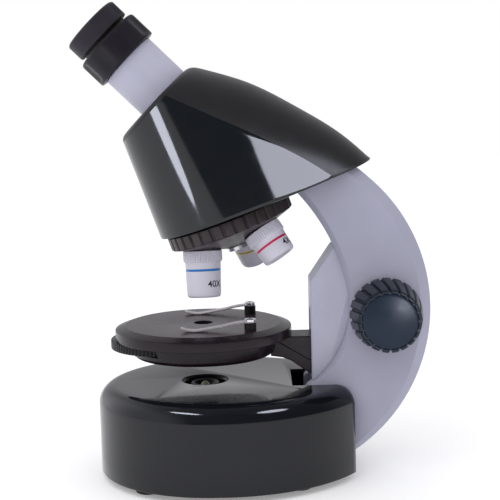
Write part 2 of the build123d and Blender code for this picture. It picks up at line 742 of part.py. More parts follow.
def hood_roof(inset):
    """Arched roof: half ellipses on stations along the slope, from the tube down to the rear tip."""
    sections = []
    crease = crease_height - inset
    for along, crest, half_width in roof_stations:
        w = half_width - inset
        down_slope = (0, along * roof_step, -along * roof_step)
        plane = Plane(origin=down_slope, x_dir=(1, 0, 0), z_dir=(0, -roof_step, roof_step))
        arch = EllipticalCenterArc((0, crease), w, crest - crease_height, 0, arc_size=180)
        skirt = Polyline((w, crease), (w + 30, crease - 34), (w + 30, -100))
        sides = skirt + skirt.mirror(Plane.YZ) + Line((w + 30, -100), (-w - 30, -100))
        sections.append(plane * make_face(arch + sides))
    return loft(sections)


def hood_solid(inset, low):
    prism = extrude(hood_footprint(inset), 90)
    prism = Pos(0, 0, low) * prism
    solid = head * (prism & hood_roof(inset))
    return solid & (tube * Pos(0, 0, hood_face - inset - 150) * Box(400, 400, 300))


def hood_shell():
    outer = hood_solid(0, 0)
    inner = hood_solid(hood_wall, -1)
    shell = outer - inner
    return shell - tube * upright(tube_radius + 0.05, 10, 60)


def hood_base():
    plate = hood_solid(hood_wall + 0.1, 0) & head * block((-50, -50, 0), (50, 90, 3.0))
    plate = plate - disc_plate(head, pivot_radius, -1, 4)
    plate = plate + disc_plate(head, 7.5, 3.0, 9.0) - disc_plate(head, 2.6, 2.9, 10)
    light_hole = upright(7.5, apex_z - 60, apex_z - 10)
    return plate - light_hole


def fold_mirror():
    return mirror_plane * block((-12, -14, -2), (12, 14, 0))


def mirror_holder():
    """Wedge behind the mirror that stands on the hood's plate."""
    pad = mirror_plane * block((-12, -14, -4.5), (12, 14, -2))
    rear_leg = mirror_plane * block((-12, -10, -14), (12, 12, -4.4))
    leg = head * block((-12, 8.2, 3.0), (12, 18, 44))
    cut = mirror_plane * block((-30, -60, -2), (30, 60, 60))
    return pad + rear_leg + leg - cut - disc_plate(head, 8.0, 0, 9.5)


# ---------- eyepiece ----------
def eyepiece_tube():
    return tube * turned([
        (barrel_radius + running_gap, 17.5), (tube_radius, 17.5), (tube_radius, collar_start - 0.05),
        (draw_radius, collar_start - 0.05), (draw_radius, 54.8), (barrel_radius + running_gap, 54.8),
    ])


def zoom_collar():
    outer = upright(18.1, collar_start, collar_end)
    outer = fillet(outer.edges().sort_by(Axis.Z)[-1], 1.8)
    outer = fillet(outer.edges().sort_by(Axis.Z)[0], 1.0)
    collar = outer - upright(draw_radius + running_gap, collar_start - 1, collar_end + 1)
    for scallop in range(8):
        x, y = arc_point((0, 0), 24.4, 45 * scallop + 22.5)
        collar = collar - upright(7.2, collar_start + 1.6, collar_end + 1, x, y)
    return tube * collar


def draw_tube():
    return tube * turned([
        (9.6, 38.0), (barrel_radius, 38.0), (barrel_radius, 55.2), (draw_radius, 55.2), (draw_radius, 66.0),
        (9.6, 66.0),
    ])


def eyecup():
    seat = draw_radius + 0.02
    return tube * turned([
        (seat, eyecup_start), (eyecup_radius - 0.6, eyecup_start), (eyecup_radius, eyecup_start + 0.6),
        (eyecup_radius, eyecup_end - 0.8), (eyecup_radius - 0.8, eyecup_end), (13.6, eyecup_end), (8.2, 69.6),
        (8.2, 69.2), (9.6, 69.2), (9.6, 66.0), (seat, 66.0),
    ])


def eye_lens():
    return tube * (upright(9.5, 66.3, 68.8) + upright(7.6, 68.8, 69.6))


def field_lens():
    return tube * (upright(9.5, 39.0, 41.5) + upright(7.6, 38.4, 39.0))


nodes = {
    "base_shell": base_shell() + screw_posts(),
    "base_plate": base_plate(),
    "base_screws": base_screws(),
    "rubber_feet": rubber_feet(),
    "battery_door": battery_door(),
    "battery_door_screw": battery_door_screw(),
    "battery_tray": battery_tray(),
    "battery_cells": battery_cells(),
    "battery_contacts": battery_contacts(),
    "lamp_cup": lamp_cup(),
    "lamp_led": lamp_led(),
    "lamp_board": lamp_board(),
    "switch_body": switch_body(),
    "power_switch": power_switch(),
    "arm_left": arm_half(-1),
    "arm_right": arm_half(1),
    "arm_screws": arm_screws(),
    "guide_column": guide_column(),
    "focus_shaft": focus_shaft(),
    "pinion": pinion(),
    "shaft_bushes": shaft_bushes(),
    "friction_washers": friction_washers(),
    "knob_left": focus_knob(-1),
    "knob_right": focus_knob(1),
    "knob_cap_left": knob_cap(-1),
    "knob_cap_right": knob_cap(1),
    "stage_carriage": stage_carriage(),
    "stage_plate": stage_plate(),
    "stage_pan": stage_pan(),
    "stage_screws": stage_screws(),
    "clip_posts": clip_posts(),
    "clip_screws": clip_screws(),
    "clip_left": stage_clip(-clip_post_x),
    "clip_right": stage_clip(clip_post_x),
    "diaphragm_wheel": diaphragm_wheel(),
    "diaphragm_pivot": diaphragm_pivot(),
    "nosepiece_turret": nosepiece_turret(),
    "nosepiece_pivot": nosepiece_pivot(),
    "click_spring": click_spring(),
    "hood_shell": hood_shell(),
    "hood_base": hood_base(),
    "fold_mirror": fold_mirror(),
    "mirror_holder": mirror_holder(),
    "eyepiece_tube": eyepiece_tube(),
    "zoom_collar": zoom_collar(),
    "draw_tube": draw_tube(),
    "eyecup": eyecup(),
    "eye_lens": eye_lens(),
    "field_lens": field_lens(),
}
for power in objective_turns:
    nodes["objective_" + power] = objective(power)
    nodes["front_lens_" + power] = front_lens(power)

os.makedirs("parts", exist_ok=True)
for name, shape in nodes.items():
    export_step(Pos(0, y_shift, 0) * shape, "parts/" + name + ".step")
print("y_shift", round(y_shift, 3), "nodes", len(nodes))
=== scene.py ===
import bpy
import bmesh
import math
from mathutils import Matrix, Vector


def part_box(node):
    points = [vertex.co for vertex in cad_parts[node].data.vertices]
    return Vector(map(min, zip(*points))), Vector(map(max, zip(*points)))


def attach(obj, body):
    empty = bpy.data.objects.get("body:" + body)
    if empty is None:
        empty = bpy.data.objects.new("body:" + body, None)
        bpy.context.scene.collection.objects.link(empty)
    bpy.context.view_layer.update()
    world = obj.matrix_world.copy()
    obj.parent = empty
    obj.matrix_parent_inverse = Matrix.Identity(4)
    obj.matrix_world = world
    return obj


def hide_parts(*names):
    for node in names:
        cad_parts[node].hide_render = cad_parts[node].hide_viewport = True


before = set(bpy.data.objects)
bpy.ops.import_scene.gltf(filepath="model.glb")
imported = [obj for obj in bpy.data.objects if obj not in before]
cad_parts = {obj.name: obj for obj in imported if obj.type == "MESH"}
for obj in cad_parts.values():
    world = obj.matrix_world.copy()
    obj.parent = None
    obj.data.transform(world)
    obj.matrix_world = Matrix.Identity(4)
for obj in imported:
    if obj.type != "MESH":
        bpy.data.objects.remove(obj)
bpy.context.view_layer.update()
mm = 0.001

# the optical axis runs straight up through the lamp
lampLow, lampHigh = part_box("lamp_cup")
axisY = (lampLow.y + lampHigh.y) / 2 / mm
tableToDrum = 47.0      # height of the drum's top
apexZ = 171.0           # where the axes of all three objectives meet
mirrorZ = 177.3         # where the vertical axis turns into the eyepiece tube
headTilt = math.radians(19.4)
headDrop = 40.6         # from there down the nosepiece's axis to the hood's lower edge
shoulder = 56.4         # and to where each objective begins
print("frame loaded, optical axis at y =", round(axisY, 2), "mm")


def upright(x, y, z):    # standing on the table, measured from the optical axis
    return Matrix.Translation(Vector((x, y + axisY, z)))


onAxis = upright(0, 0, 0)


def axesAt(origin, xAxis, yAxis, zAxis):
    m = Matrix.Identity(4)
    for column, v in enumerate((xAxis, yAxis, zAxis)):
        for row in range(3):
            m[row][column] = v[row]
    m.translation = Vector((origin[0], origin[1] + axisY, origin[2]))
    return m


def headPlace():    # z up the nosepiece's axis, y back along the hood's lower edge
    c, s = math.cos(headTilt), math.sin(headTilt)
    return axesAt((0, headDrop * s, apexZ - headDrop * c), (1, 0, 0), (0, c, s), (0, -s, c))


def tubePlace():    # z out along the eyepiece tube
    h = math.sqrt(0.5)
    return axesAt((0, 0, mirrorZ), (1, 0, 0), (0, h, h), (0, -h, h))


def objectivePlace(turn):    # z down one objective's axis
    a = math.radians(turn - 18)
    s, c = math.sin(headTilt), math.cos(headTilt)
    down = Vector((-s * math.sin(a), s * c * (1 - math.cos(a)), -(c * c + s * s * math.cos(a))))
    side = Vector((0, 1, 0)).cross(down).normalized()
    return axesAt((0, 0, apexZ), side, down.cross(side), down)


def acrossPlace(y, z, side):    # z out along +X (side 1) or -X (side -1)
    return axesAt((0, y, z), (0, side, 0), (0, 0, 1), (side, 0, 0))


def softCorners(corners, steps=4, closed=True):
    # corners are (a, b, radius); each one becomes a small curve
    line = []
    count = len(corners)
    for i, (a, b, radius) in enumerate(corners):
        here = Vector((a, b))
        if radius <= 0 or (not closed and i in (0, count - 1)):
            line.append((a, b))
            continue
        before = Vector(corners[i - 1][:2]) - here
        after = Vector(corners[(i + 1) % count][:2]) - here
        bend = before.angle(after)
        reach = min(radius / math.tan(bend / 2), 0.48 * before.length, 0.48 * after.length)
        start, end = here + before.normalized() * reach, here + after.normalized() * reach
        for k in range(steps + 1):
            t = k / steps
            p = start * (1 - t) ** 2 + here * 2 * t * (1 - t) + end * t ** 2
            line.append((p.x, p.y))
    return line


def smoothStep(t):
    t = max(0.0, min(1.0, t))
    return t * t * (3 - 2 * t)


def evenSteps(points, steps):
    # the same line again, with its points evenly spaced
    lengths = [0.0]
    for before, after in zip(points, points[1:]):
        lengths.append(lengths[-1] + math.dist(before, after))
    spaced = []
    j = 0
    for k in range(steps + 1):
        want = lengths[-1] * k / steps
        while j < len(points) - 2 and lengths[j + 1] < want:
            j += 1
        span = lengths[j + 1] - lengths[j]
        t = (want - lengths[j]) / span if span > 0 else 0
        spaced.append(Vector(points[j]).lerp(Vector(points[j + 1]), t))
    return spaced


def denser(line, step):
    # the same closed line, with more points on its long stretches
    dense = []
    for i, p in enumerate(line):
        n = line[(i + 1) % len(line)]
        parts = max(1, int(math.dist(p, n) / step))
        dense += [(p[0] + (n[0] - p[0]) * k / parts, p[1] + (n[1] - p[1]) * k / parts) for k in range(parts)]
    return dense


# the makers below all work in millimetres
def bridgeRings(bm, rings, closedAround=True, closedAlong=False):
    faces = []
    total = len(rings)
    for i in range(total if closedAlong else total - 1):
        a, b = rings[i], rings[(i + 1) % total]
        n = len(a)
        for k in range(n if closedAround else n - 1):
            j = (k + 1) % n
            corners = []
            for v in (a[k], a[j], b[j], b[k]):
                if v not in corners:
                    corners.append(v)
            if len(corners) > 2:
                try:
                    faces.append(bm.faces.new(corners))
                except ValueError:
                    pass
    return faces


def latheMesh(profile, segments=96, radiusAt=None, closed=True):
    # turns a (radius, height) line about z; radiusAt(radius, height, angle) can ripple it
    bm = bmesh.new()
    rings = []
    for r, z in profile:
        if r < 1e-4:
            pole = bm.verts.new((0, 0, z))
            rings.append([pole] * segments)
            continue
        ring = []
        for k in range(segments):
            a = 2 * math.pi * k / segments
            rr = radiusAt(r, z, a) if radiusAt else r
            ring.append(bm.verts.new((rr * math.cos(a), rr * math.sin(a), z)))
        rings.append(ring)
    bridgeRings(bm, rings, True, closed)
    return bm


def rodMesh(radius, low, high, segments):
    return latheMesh([(0, low), (radius, low), (radius, high), (0, high)], segments, closed=False)


def capEnds(bm, rings):
    # closes a row of rings at both ends
    bm.faces.new(list(reversed(rings[0])))
    bm.faces.new(rings[-1])


def slabMesh(outline, levels):
    # plate standing across x, from a (y, z) outline; levels are (x, inset of the outline there)
    bm = bmesh.new()
    rings = [[bm.verts.new((x, y, z)) for y, z in insetLine(outline, inset)] for x, inset in levels]
    bridgeRings(bm, rings)
    capEnds(bm, rings)
    return bm


def insetLine(outline, inset):
    # moves a closed outline inwards, corner by corner
    if inset == 0:
        return outline
    n = len(outline)
    area = sum(outline[i - 1][0] * outline[i][1] - outline[i][0] * outline[i - 1][1] for i in range(n))
    way = 1 if area > 0 else -1
    line = []
    for i in range(n):
        here = Vector(outline[i])
        a, b = here - Vector(outline[i - 1]), Vector(outline[(i + 1) % n]) - here
        if a.length < 1e-9 or b.length < 1e-9:
            line.append(tuple(here))
            continue
        sideA, sideB = Vector((-a.y, a.x)).normalized(), Vector((-b.y, b.x)).normalized()
        middle = sideA + sideB
        if middle.length < 1e-6:
            middle = sideA
        middle.normalize()
        p = here + middle * inset / max(0.35, middle.dot(sideA)) * way
        line.append((p.x, p.y))
    return line


def boxMesh(low, high, edge=0.0):
    bm = bmesh.new()
    bmesh.ops.create_cube(bm, size=1.0)
    size = Vector([h - l for l, h in zip(low, high)])
    middle = Vector([(h + l) / 2 for l, h in zip(low, high)])
    for v in bm.verts:
        v.co = Vector((v.co.x * size.x, v.co.y * size.y, v.co.z * size.z)) + middle
    if edge > 0:
        bmesh.ops.bevel(bm, geom=list(bm.edges), offset=edge, segments=3, affect="EDGES", profile=0.6)
    return bm


def mergeMeshes(meshes):
    # puts several bmeshes into the first one
    whole = meshes[0]
    for part in meshes[1:]:
        copies = {}
        for v in part.verts:
            copies[v] = whole.verts.new(v.co)
        for f in part.faces:
            new = whole.faces.new([copies[v] for v in f.verts])
            new.material_index = f.material_index
            new.smooth = f.smooth
        part.free()
    return whole


def moved(bm, matrix):
    bmesh.ops.transform(bm, matrix=matrix, verts=bm.verts)
    return bm


def shadeEdges(bm, angle):
    limit = math.radians(angle)
    for f in bm.faces:
        f.smooth = True
    for e in bm.edges:
        if len(e.link_faces) == 2:
            e.smooth = e.calc_face_angle(0) < limit


def newPiece(name, bm, place, finishNames, body, nodes=(), sharp=32.0):
    # turns a mesh into a piece that rides on a body; edges bent by more than sharp degrees stay crisp
    bmesh.ops.remove_doubles(bm, verts=bm.verts, dist=0.0004)
    bmesh.ops.transform(bm, matrix=Matrix.Scale(mm, 4) @ place, verts=bm.verts)
    bmesh.ops.recalc_face_normals(bm, faces=bm.faces)
    shadeEdges(bm, sharp)
    mesh = bpy.data.meshes.new(name)
    bm.to_mesh(mesh)
    bm.free()
    piece = bpy.data.objects.new(name, mesh)
    bpy.context.scene.collection.objects.link(piece)
    for finishName in finishNames.split():
        mesh.materials.append(finishes[finishName])
    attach(piece, body)
    if nodes:
        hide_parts(*nodes)
    return piece


def cutAway(piece, bm, place, name):
    # subtracts a closed shape from a piece and drops the cutter
    mesh = bpy.data.meshes.new(name)
    bmesh.ops.transform(bm, matrix=Matrix.Scale(mm, 4) @ place, verts=bm.verts)
    bmesh.ops.recalc_face_normals(bm, faces=bm.faces)
    bm.to_mesh(mesh)
    bm.free()
    cutter = bpy.data.objects.new(name, mesh)
    bpy.context.scene.collection.objects.link(cutter)
    step = piece.modifiers.new(name, "BOOLEAN")
    step.operation = "DIFFERENCE"
    step.solver = "EXACT"
    step.object = cutter
    applyModifiers(piece)
    bpy.data.objects.remove(cutter)


def applyModifiers(piece):
    graph = bpy.context.evaluated_depsgraph_get()
    graph.update()
    made = bpy.data.meshes.new_from_object(piece.evaluated_get(graph))
    old = piece.data
    piece.modifiers.clear()
    piece.data = made
    made.name = old.name
    bpy.data.meshes.remove(old)


def crispEdges(piece, angle):
    bm = bmesh.new()
    bm.from_mesh(piece.data)
    shadeEdges(bm, angle)
    bm.to_mesh(piece.data)
    bm.free()


def bevelPiece(piece, width, segments, angle):
    step = piece.modifiers.new("edgeRounding", "BEVEL")
    step.width = width * mm
    step.segments = segments
    step.limit_method = "ANGLE"
    step.angle_limit = math.radians(angle)
    step.use_clamp_overlap = True
    applyModifiers(piece)


def finish(name, look):
    # one moulded, painted or metal surface; sizes of grain and speckle are in millimetres
    material = bpy.data.materials.new(name)
    material.use_nodes = True
    nodes, links = material.node_tree.nodes, material.node_tree.links
    shader = nodes["Principled BSDF"]
    shader.inputs["Metallic"].default_value = look.get("metallic", 0.0)
    shader.inputs["Coat Weight"].default_value = look.get("coat", 0.0)
    shader.inputs["Coat Roughness"].default_value = 0.05
    shader.inputs["Specular IOR Level"].default_value = look.get("specular", 0.5)
    shader.inputs["IOR"].default_value = 1.47
    shader.inputs["Transmission Weight"].default_value = look.get("clear", 0.0)
    where = nodes.new("ShaderNodeTexCoord")
    stretched = look.get("stretch", (1, 1, 1))

    def noise(size, detail, stretch=(1, 1, 1)):
        scale = nodes.new("ShaderNodeMapping")
        scale.inputs["Scale"].default_value = [s / (size * mm) for s in stretch]
        links.new(where.outputs["Object"], scale.inputs["Vector"])
        made = nodes.new("ShaderNodeTexNoise")
        made.inputs["Scale"].default_value = 1.0
        made.inputs["Detail"].default_value = detail
        links.new(scale.outputs["Vector"], made.inputs["Vector"])
        return made.outputs["Fac"]

    # colour drifts a little between two tones over the surface
    tone = nodes.new("ShaderNodeMix")
    tone.data_type = "RGBA"
    tone.inputs[6].default_value = (*look["colour"], 1)
    tone.inputs[7].default_value = (*look.get("second", [c * 1.18 for c in look["colour"]]), 1)
    drift = nodes.new("ShaderNodeMapRange")
    drift.inputs["From Min"].default_value = 0.35
    drift.inputs["From Max"].default_value = 0.65
    links.new(noise(look.get("toneSize", 14.0), 3.0), drift.inputs["Value"])
    links.new(drift.outputs["Result"], tone.inputs[0])
    colour = tone.outputs[2]
    if look.get("fleck", 0) > 0:    # fine metallic or pigment fleck
        fleck = nodes.new("ShaderNodeMix")
        fleck.data_type = "RGBA"
        fleck.blend_type = "MULTIPLY"
        fleck.inputs[0].default_value = look["fleck"]
        ramp = nodes.new("ShaderNodeValToRGB")
        ramp.color_ramp.elements[0].position = 0.35
        ramp.color_ramp.elements[0].color = (0.75, 0.75, 0.75, 1)
        ramp.color_ramp.elements[1].position = 0.65
        ramp.color_ramp.elements[1].color = (1.2, 1.2, 1.2, 1)
        links.new(noise(look.get("fleckSize", 0.25), 1.0), ramp.inputs["Fac"])
        links.new(colour, fleck.inputs[6])
        links.new(ramp.outputs["Color"], fleck.inputs[7])
        colour = fleck.outputs[2]
    links.new(colour, shader.inputs["Base Color"])

    rough = nodes.new("ShaderNodeMapRange")
    rough.inputs["From Min"].default_value = 0.3
    rough.inputs["From Max"].default_value = 0.7
    rough.inputs["To Min"].default_value = look["rough"] - look.get("roughSpread", 0.03)
    rough.inputs["To Max"].default_value = look["rough"] + look.get("roughSpread", 0.03)
    links.new(noise(5.0, 4.0, stretched), rough.inputs["Value"])
    links.new(rough.outputs["Result"], shader.inputs["Roughness"])

    if look.get("grain", 0) > 0:
        bump = nodes.new("ShaderNodeBump")
        bump.inputs["Strength"].default_value = look["grain"]
        bump.inputs["Distance"].default_value = 0.05 * mm
        links.new(noise(look.get("grainSize", 0.5), 2.0, stretched), bump.inputs["Height"])
        links.new(bump.outputs["Normal"], shader.inputs["Normal"])
    return material


# colours are linear; rough is the gloss, grain the fine relief, fleck the pigment
looks = {
    "hoodGloss": {"colour": (0.0045, 0.0062, 0.0085), "second": (0.0055, 0.0072, 0.0095), "rough": 0.08,
                  "roughSpread": 0.02, "grain": 0.02, "grainSize": 4.0},
    # the roof is the flanks' gloss plastic; this duller, lighter copy paints in its even reflection of the
    # dim sky
    "hoodRoof": {"colour": (0.017, 0.0168, 0.0185), "second": (0.0185, 0.0182, 0.0205), "rough": 0.34,
                 "roughSpread": 0.03, "specular": 0.2, "grain": 0.03, "grainSize": 1.2},
    "drumGloss": {"colour": (0.0045, 0.005, 0.008), "second": (0.0065, 0.007, 0.01), "rough": 0.09,
                  "roughSpread": 0.03, "specular": 0.4, "toneSize": 40, "grain": 0.015, "grainSize": 6.0},
    "armPaint": {"colour": (0.345, 0.343, 0.445), "second": (0.32, 0.32, 0.415), "rough": 0.45,
                 "roughSpread": 0.04, "specular": 0.4, "grain": 0.12, "grainSize": 0.35, "toneSize": 30,
                 "fleck": 0.12, "fleckSize": 0.3},
    "tubePaint": {"colour": (0.44, 0.44, 0.555), "second": (0.41, 0.41, 0.52), "rough": 0.38,
                  "roughSpread": 0.03, "specular": 0.5, "grain": 0.08, "grainSize": 0.35, "fleck": 0.1},
    "objectivePaint": {"colour": (0.55, 0.535, 0.625), "second": (0.52, 0.505, 0.585), "rough": 0.42,
                       "roughSpread": 0.04, "grain": 0.05, "grainSize": 0.3, "fleck": 0.08},
    "stageGloss": {"colour": (0.0095, 0.0055, 0.0085), "second": (0.012, 0.0075, 0.0105), "rough": 0.26,
                   "roughSpread": 0.04, "specular": 0.3, "grain": 0.05, "grainSize": 0.5},
    # paler copy of stageGloss for the stage's flat top, a painted reflection of the bright room behind
    "stageTop": {"colour": (0.026, 0.0135, 0.021), "second": (0.0275, 0.0145, 0.0225), "rough": 0.28,
                 "roughSpread": 0.015, "specular": 0.3, "grain": 0.05, "grainSize": 0.5},
    "carriageSatin": {"colour": (0.024, 0.0185, 0.0235), "second": (0.029, 0.0225, 0.028), "rough": 0.36,
                      "roughSpread": 0.04, "specular": 0.35, "grain": 0.08, "grainSize": 0.5},
    "turretSatin": {"colour": (0.021, 0.0155, 0.0185), "second": (0.032, 0.0235, 0.027), "rough": 0.4,
                    "roughSpread": 0.06, "specular": 0.4, "toneSize": 6, "grain": 0.12, "grainSize": 0.6},
    "knobSlate": {"colour": (0.0085, 0.0135, 0.0225), "second": (0.0105, 0.016, 0.027), "rough": 0.36,
                  "roughSpread": 0.05, "specular": 0.3, "grain": 0.15, "grainSize": 0.5},
    "knobFace": {"colour": (0.0085, 0.0175, 0.034), "second": (0.0105, 0.02, 0.039), "rough": 0.34,
                 "roughSpread": 0.05, "specular": 0.25, "grain": 0.1, "grainSize": 0.6},
    "eyecupSatin": {"colour": (0.021, 0.018, 0.0265), "second": (0.026, 0.0225, 0.0325), "rough": 0.45,
                    "roughSpread": 0.05, "specular": 0.2, "grain": 0.18, "grainSize": 0.5},
    "collarSatin": {"colour": (0.0125, 0.011, 0.0165), "second": (0.016, 0.0145, 0.0205), "rough": 0.4,
                    "roughSpread": 0.05, "specular": 0.22, "grain": 0.18, "grainSize": 0.5},
    "innerBlack": {"colour": (0.006, 0.006, 0.0065), "rough": 0.5, "grain": 0.2, "grainSize": 0.8},
    "ribBlack": {"colour": (0.007, 0.006, 0.0075), "rough": 0.36, "specular": 0.3, "grain": 0.15,
                 "grainSize": 0.4},
    "footRubber": {"colour": (0.01, 0.01, 0.011), "rough": 0.75, "roughSpread": 0.08, "grain": 0.3,
                   "grainSize": 0.4},
    "springSteel": {"colour": (0.46, 0.43, 0.45), "second": (0.52, 0.49, 0.51), "metallic": 0.55,
                    "rough": 0.32, "roughSpread": 0.08, "grain": 0.08, "grainSize": 0.3,
                    "stretch": (1, 0.06, 1)},
    "screwChrome": {"colour": (0.72, 0.72, 0.76), "second": (0.8, 0.8, 0.84), "metallic": 1.0,
                    "rough": 0.12, "roughSpread": 0.05, "grain": 0.03},
    "screwZinc": {"colour": (0.42, 0.43, 0.45), "second": (0.5, 0.5, 0.5), "metallic": 1.0, "rough": 0.35,
                  "roughSpread": 0.08, "grain": 0.1},
    "turnedSteel": {"colour": (0.55, 0.55, 0.57), "metallic": 1.0, "rough": 0.25, "roughSpread": 0.07,
                    "grain": 0.1, "grainSize": 0.2, "stretch": (0.1, 1, 1)},
    "brassGear": {"colour": (0.62, 0.42, 0.14), "metallic": 1.0, "rough": 0.3, "roughSpread": 0.06,
                  "grain": 0.1},
    "washerWhite": {"colour": (0.7, 0.7, 0.66), "rough": 0.4, "grain": 0.1},
    "blueBand": {"colour": (0.0, 0.13, 0.42), "second": (0.0, 0.15, 0.46), "rough": 0.35, "grain": 0.06},
    "redBand": {"colour": (0.47, 0.008, 0.07), "second": (0.52, 0.01, 0.085), "rough": 0.35, "grain": 0.06},
    "yellowBand": {"colour": (0.36, 0.28, 0.015), "second": (0.4, 0.31, 0.02), "rough": 0.35,
                   "grain": 0.06},
    "markInk": {"colour": (0.012, 0.013, 0.025), "rough": 0.5, "grain": 0.05},
    "lensGlass": {"colour": (0.75, 0.83, 0.9), "rough": 0.04, "roughSpread": 0.01, "clear": 0.85,
                  "coat": 0.3},
    "ledClear": {"colour": (0.9, 0.88, 0.75), "rough": 0.08, "roughSpread": 0.02, "clear": 0.6},
    "mirrorSilver": {"colour": (0.85, 0.87, 0.88), "metallic": 1.0, "rough": 0.04, "roughSpread": 0.01},
    "boardGreen": {"colour": (0.01, 0.12, 0.05), "rough": 0.35, "grain": 0.1},
    "cellJacket": {"colour": (0.05, 0.2, 0.1), "second": (0.07, 0.24, 0.12), "rough": 0.25,
                   "roughSpread": 0.04},
}
finishes = {name: finish(name, look) for name, look in looks.items()}
print("finishes:", len(finishes))


hood = {
    "radius": 35.5,        # half width, and the round front
    "straightTo": 16.0,    # how far back the flanks stay parallel
    "tip": 79.3,           # rear point of the lower edge
    "wall": 2.3,
    "mirrorAt": (0, 2.09, 46.54),
    "faceAt": 23.0,        # distance of the tube's face from the mirror
    "faceTilt": 25.6,      # lean of that face from the lower edge, in degrees
    "hinge": -148.7,       # all slices fan out from this line, where the face meets the lower edge's plane
    "edgeRound": 2.2,
    "creaseRound": 1.5,
    "tubeHole": 15.15,
    "archFull": 0.35,      # how much fuller the arch is than a plain circle
    "slices": 46, "wallSteps": 56, "roofSteps": 34,
}


def hoodHalfWidth(v):
    r = hood["radius"]
    if v <= 0:
        return math.sqrt(max(0.0, r * r - v * v))
    if v < hood["straightTo"]:
        return r
    t = min(1.0, (v - hood["straightTo"]) / (hood["tip"] - hood["straightTo"]))
    return r * max(0.0, 1 - t ** 2.3) ** 0.72


def curveThrough(points, t):
    # smooth curve through (t, value) points
    n = len(points)
    for i in range(n - 1):
        if t <= points[i + 1][0] or i == n - 2:
            break
    t0, t1 = points[i][0], points[i + 1][0]

    def slope(k):
        if k <= 0:
            return (points[1][1] - points[0][1]) / (points[1][0] - points[0][0])
        if k >= n - 1:
            return (points[-1][1] - points[-2][1]) / (points[-1][0] - points[-2][0])
        return (points[k + 1][1] - points[k - 1][1]) / (points[k + 1][0] - points[k - 1][0])

    h = t1 - t0
    s = (t - t0) / h
    return ((2 * s ** 3 - 3 * s ** 2 + 1) * points[i][1] + (s ** 3 - 2 * s ** 2 + s) * h * slope(i)
            + (-2 * s ** 3 + 3 * s ** 2) * points[i + 1][1] + (s ** 3 - s ** 2) * h * slope(i + 1))


# crest and crease lines along the roof's slope: (place, height above the slope line)
crestLine = [(-70, 52.0), (-47.4, 59.3), (-41.9, 61.1), (-15.5, 64.6),
             (13.4, 63.2), (35.4, 60.4), (55.3, 54.7), (75, 47)]
creaseLine = [(-70, 42.0), (-49.2, 42.0), (-32.5, 42.1), (-5.7, 42.5), (20, 41.6), (39.7, 38.9), (60, 35.0)]


def slopeToHead(q, r):    # from along and above the roof's 45 degree slope to the head's own axes
    return (q + r) / math.sqrt(2), (r - q) / math.sqrt(2)


def roofPoint(q, lift):
    # lift runs from 0 at the crease to 1 at the crest
    crease = curveThrough(creaseLine, q)
    crest = curveThrough(crestLine, q)
    half = hoodHalfWidth(slopeToHead(q, crease)[0])
    rise = crest - crease
    big = (half * half + rise * rise) / (2 * rise) if rise < half else half
    spread = math.asin(min(1, half / big)) if rise < half else math.pi / 2
    a = spread * (1 - lift)
    x = big * math.sin(a)
    r = crest - big * (1 - math.cos(a)) if rise < half else crease + rise * math.cos(a)
    full = hood["archFull"]
    xe = half * math.cos(lift * math.pi / 2)
    re = crease + rise * math.sin(lift * math.pi / 2)
    x, r = x * (1 - full) + xe * full, r * (1 - full) + re * full
    v, m = slopeToHead(q, r)
    return Vector((x, v, m))


def onSlice(slope, v):    # height of a slice above the lower edge
    return (v - hood["hinge"]) * slope


def roofOnSlice(slope, lift):
    # where the roof's line at this lift crosses a slice
    low, high = -75.0, 90.0
    for _ in range(34):
        q = (low + high) / 2
        p = roofPoint(q, lift)
        if p.z > onSlice(slope, p.y):
            low = q
        else:
            high = q
    return roofPoint((low + high) / 2, lift)


def wallPath(endV):
    # along the outline from the middle of the front back to the crease
    r, turns, lengths = hood["radius"], 90, 160
    angles = [math.pi / 2 * k / turns for k in range(turns + 1)]
    fine = [(r * math.sin(a), -r * math.cos(a)) for a in angles]
    if endV > 0:
        fine += [(hoodHalfWidth(endV * k / lengths), endV * k / lengths) for k in range(1, lengths + 1)]
    else:
        fine = [p for p in fine if p[1] <= endV] + [(hoodHalfWidth(endV), endV)]
    return evenSteps(fine, hood["wallSteps"])


def trimBack(points, reach):
    # the point this far along a line, and the index of the next one
    gone = 0.0
    for i in range(1, len(points)):
        step = (points[i] - points[i - 1]).length
        if gone + step > reach:
            return points[i - 1].lerp(points[i], (reach - gone) / step), i
        gone += step
    return points[-1], len(points) - 1


def hoodSlice(slope):
    # half of one slice: up the wall, round the crease and over the roof
    steps = hood["roofSteps"]
    roof = [roofOnSlice(slope, k / steps) for k in range(steps + 1)]
    wall = [Vector((x, v, onSlice(slope, v))) for x, v in wallPath(roof[0].y)]
    corner = (wall[-1] + roof[0]) / 2
    a, wallGone = trimBack(list(reversed(wall)), hood["creaseRound"])
    b, roofGone = trimBack(roof, hood["creaseRound"])
    wall = evenSteps(wall[:len(wall) - wallGone] + [a], hood["wallSteps"])
    soft = [a * (1 - t) ** 2 + corner * 2 * t * (1 - t) + b * t * t for t in (0.2, 0.4, 0.6, 0.8)]
    return wall, soft, evenSteps([b] + roof[roofGone:], steps)


def inward(ring, axis):
    # unit steps from a ring's points towards its inside
    steps = []
    for i in range(len(ring)):
        side = axis.cross(ring[(i + 1) % len(ring)] - ring[i - 1])
        steps.append(side.normalized() if side.length > 1e-9 else Vector((0, 0, 0)))
    return steps


def hoodRings():
    # whole rings, and whether each point is on the flank (0), the roof (1) or the crease (2)
    rings = []
    for k in range(hood["slices"] + 1):
        wall, soft, roof = hoodSlice(math.tan(math.radians(hood["faceTilt"])) * (k / hood["slices"]))
        half = wall + soft + roof
        rings.append(half + [Vector((-p.x, p.y, p.z)) for p in reversed(half[1:-1])])
    kinds = [0] * len(wall) + [2] * len(soft) + [1] * len(roof)
    return rings, kinds + kinds[-2:0:-1]


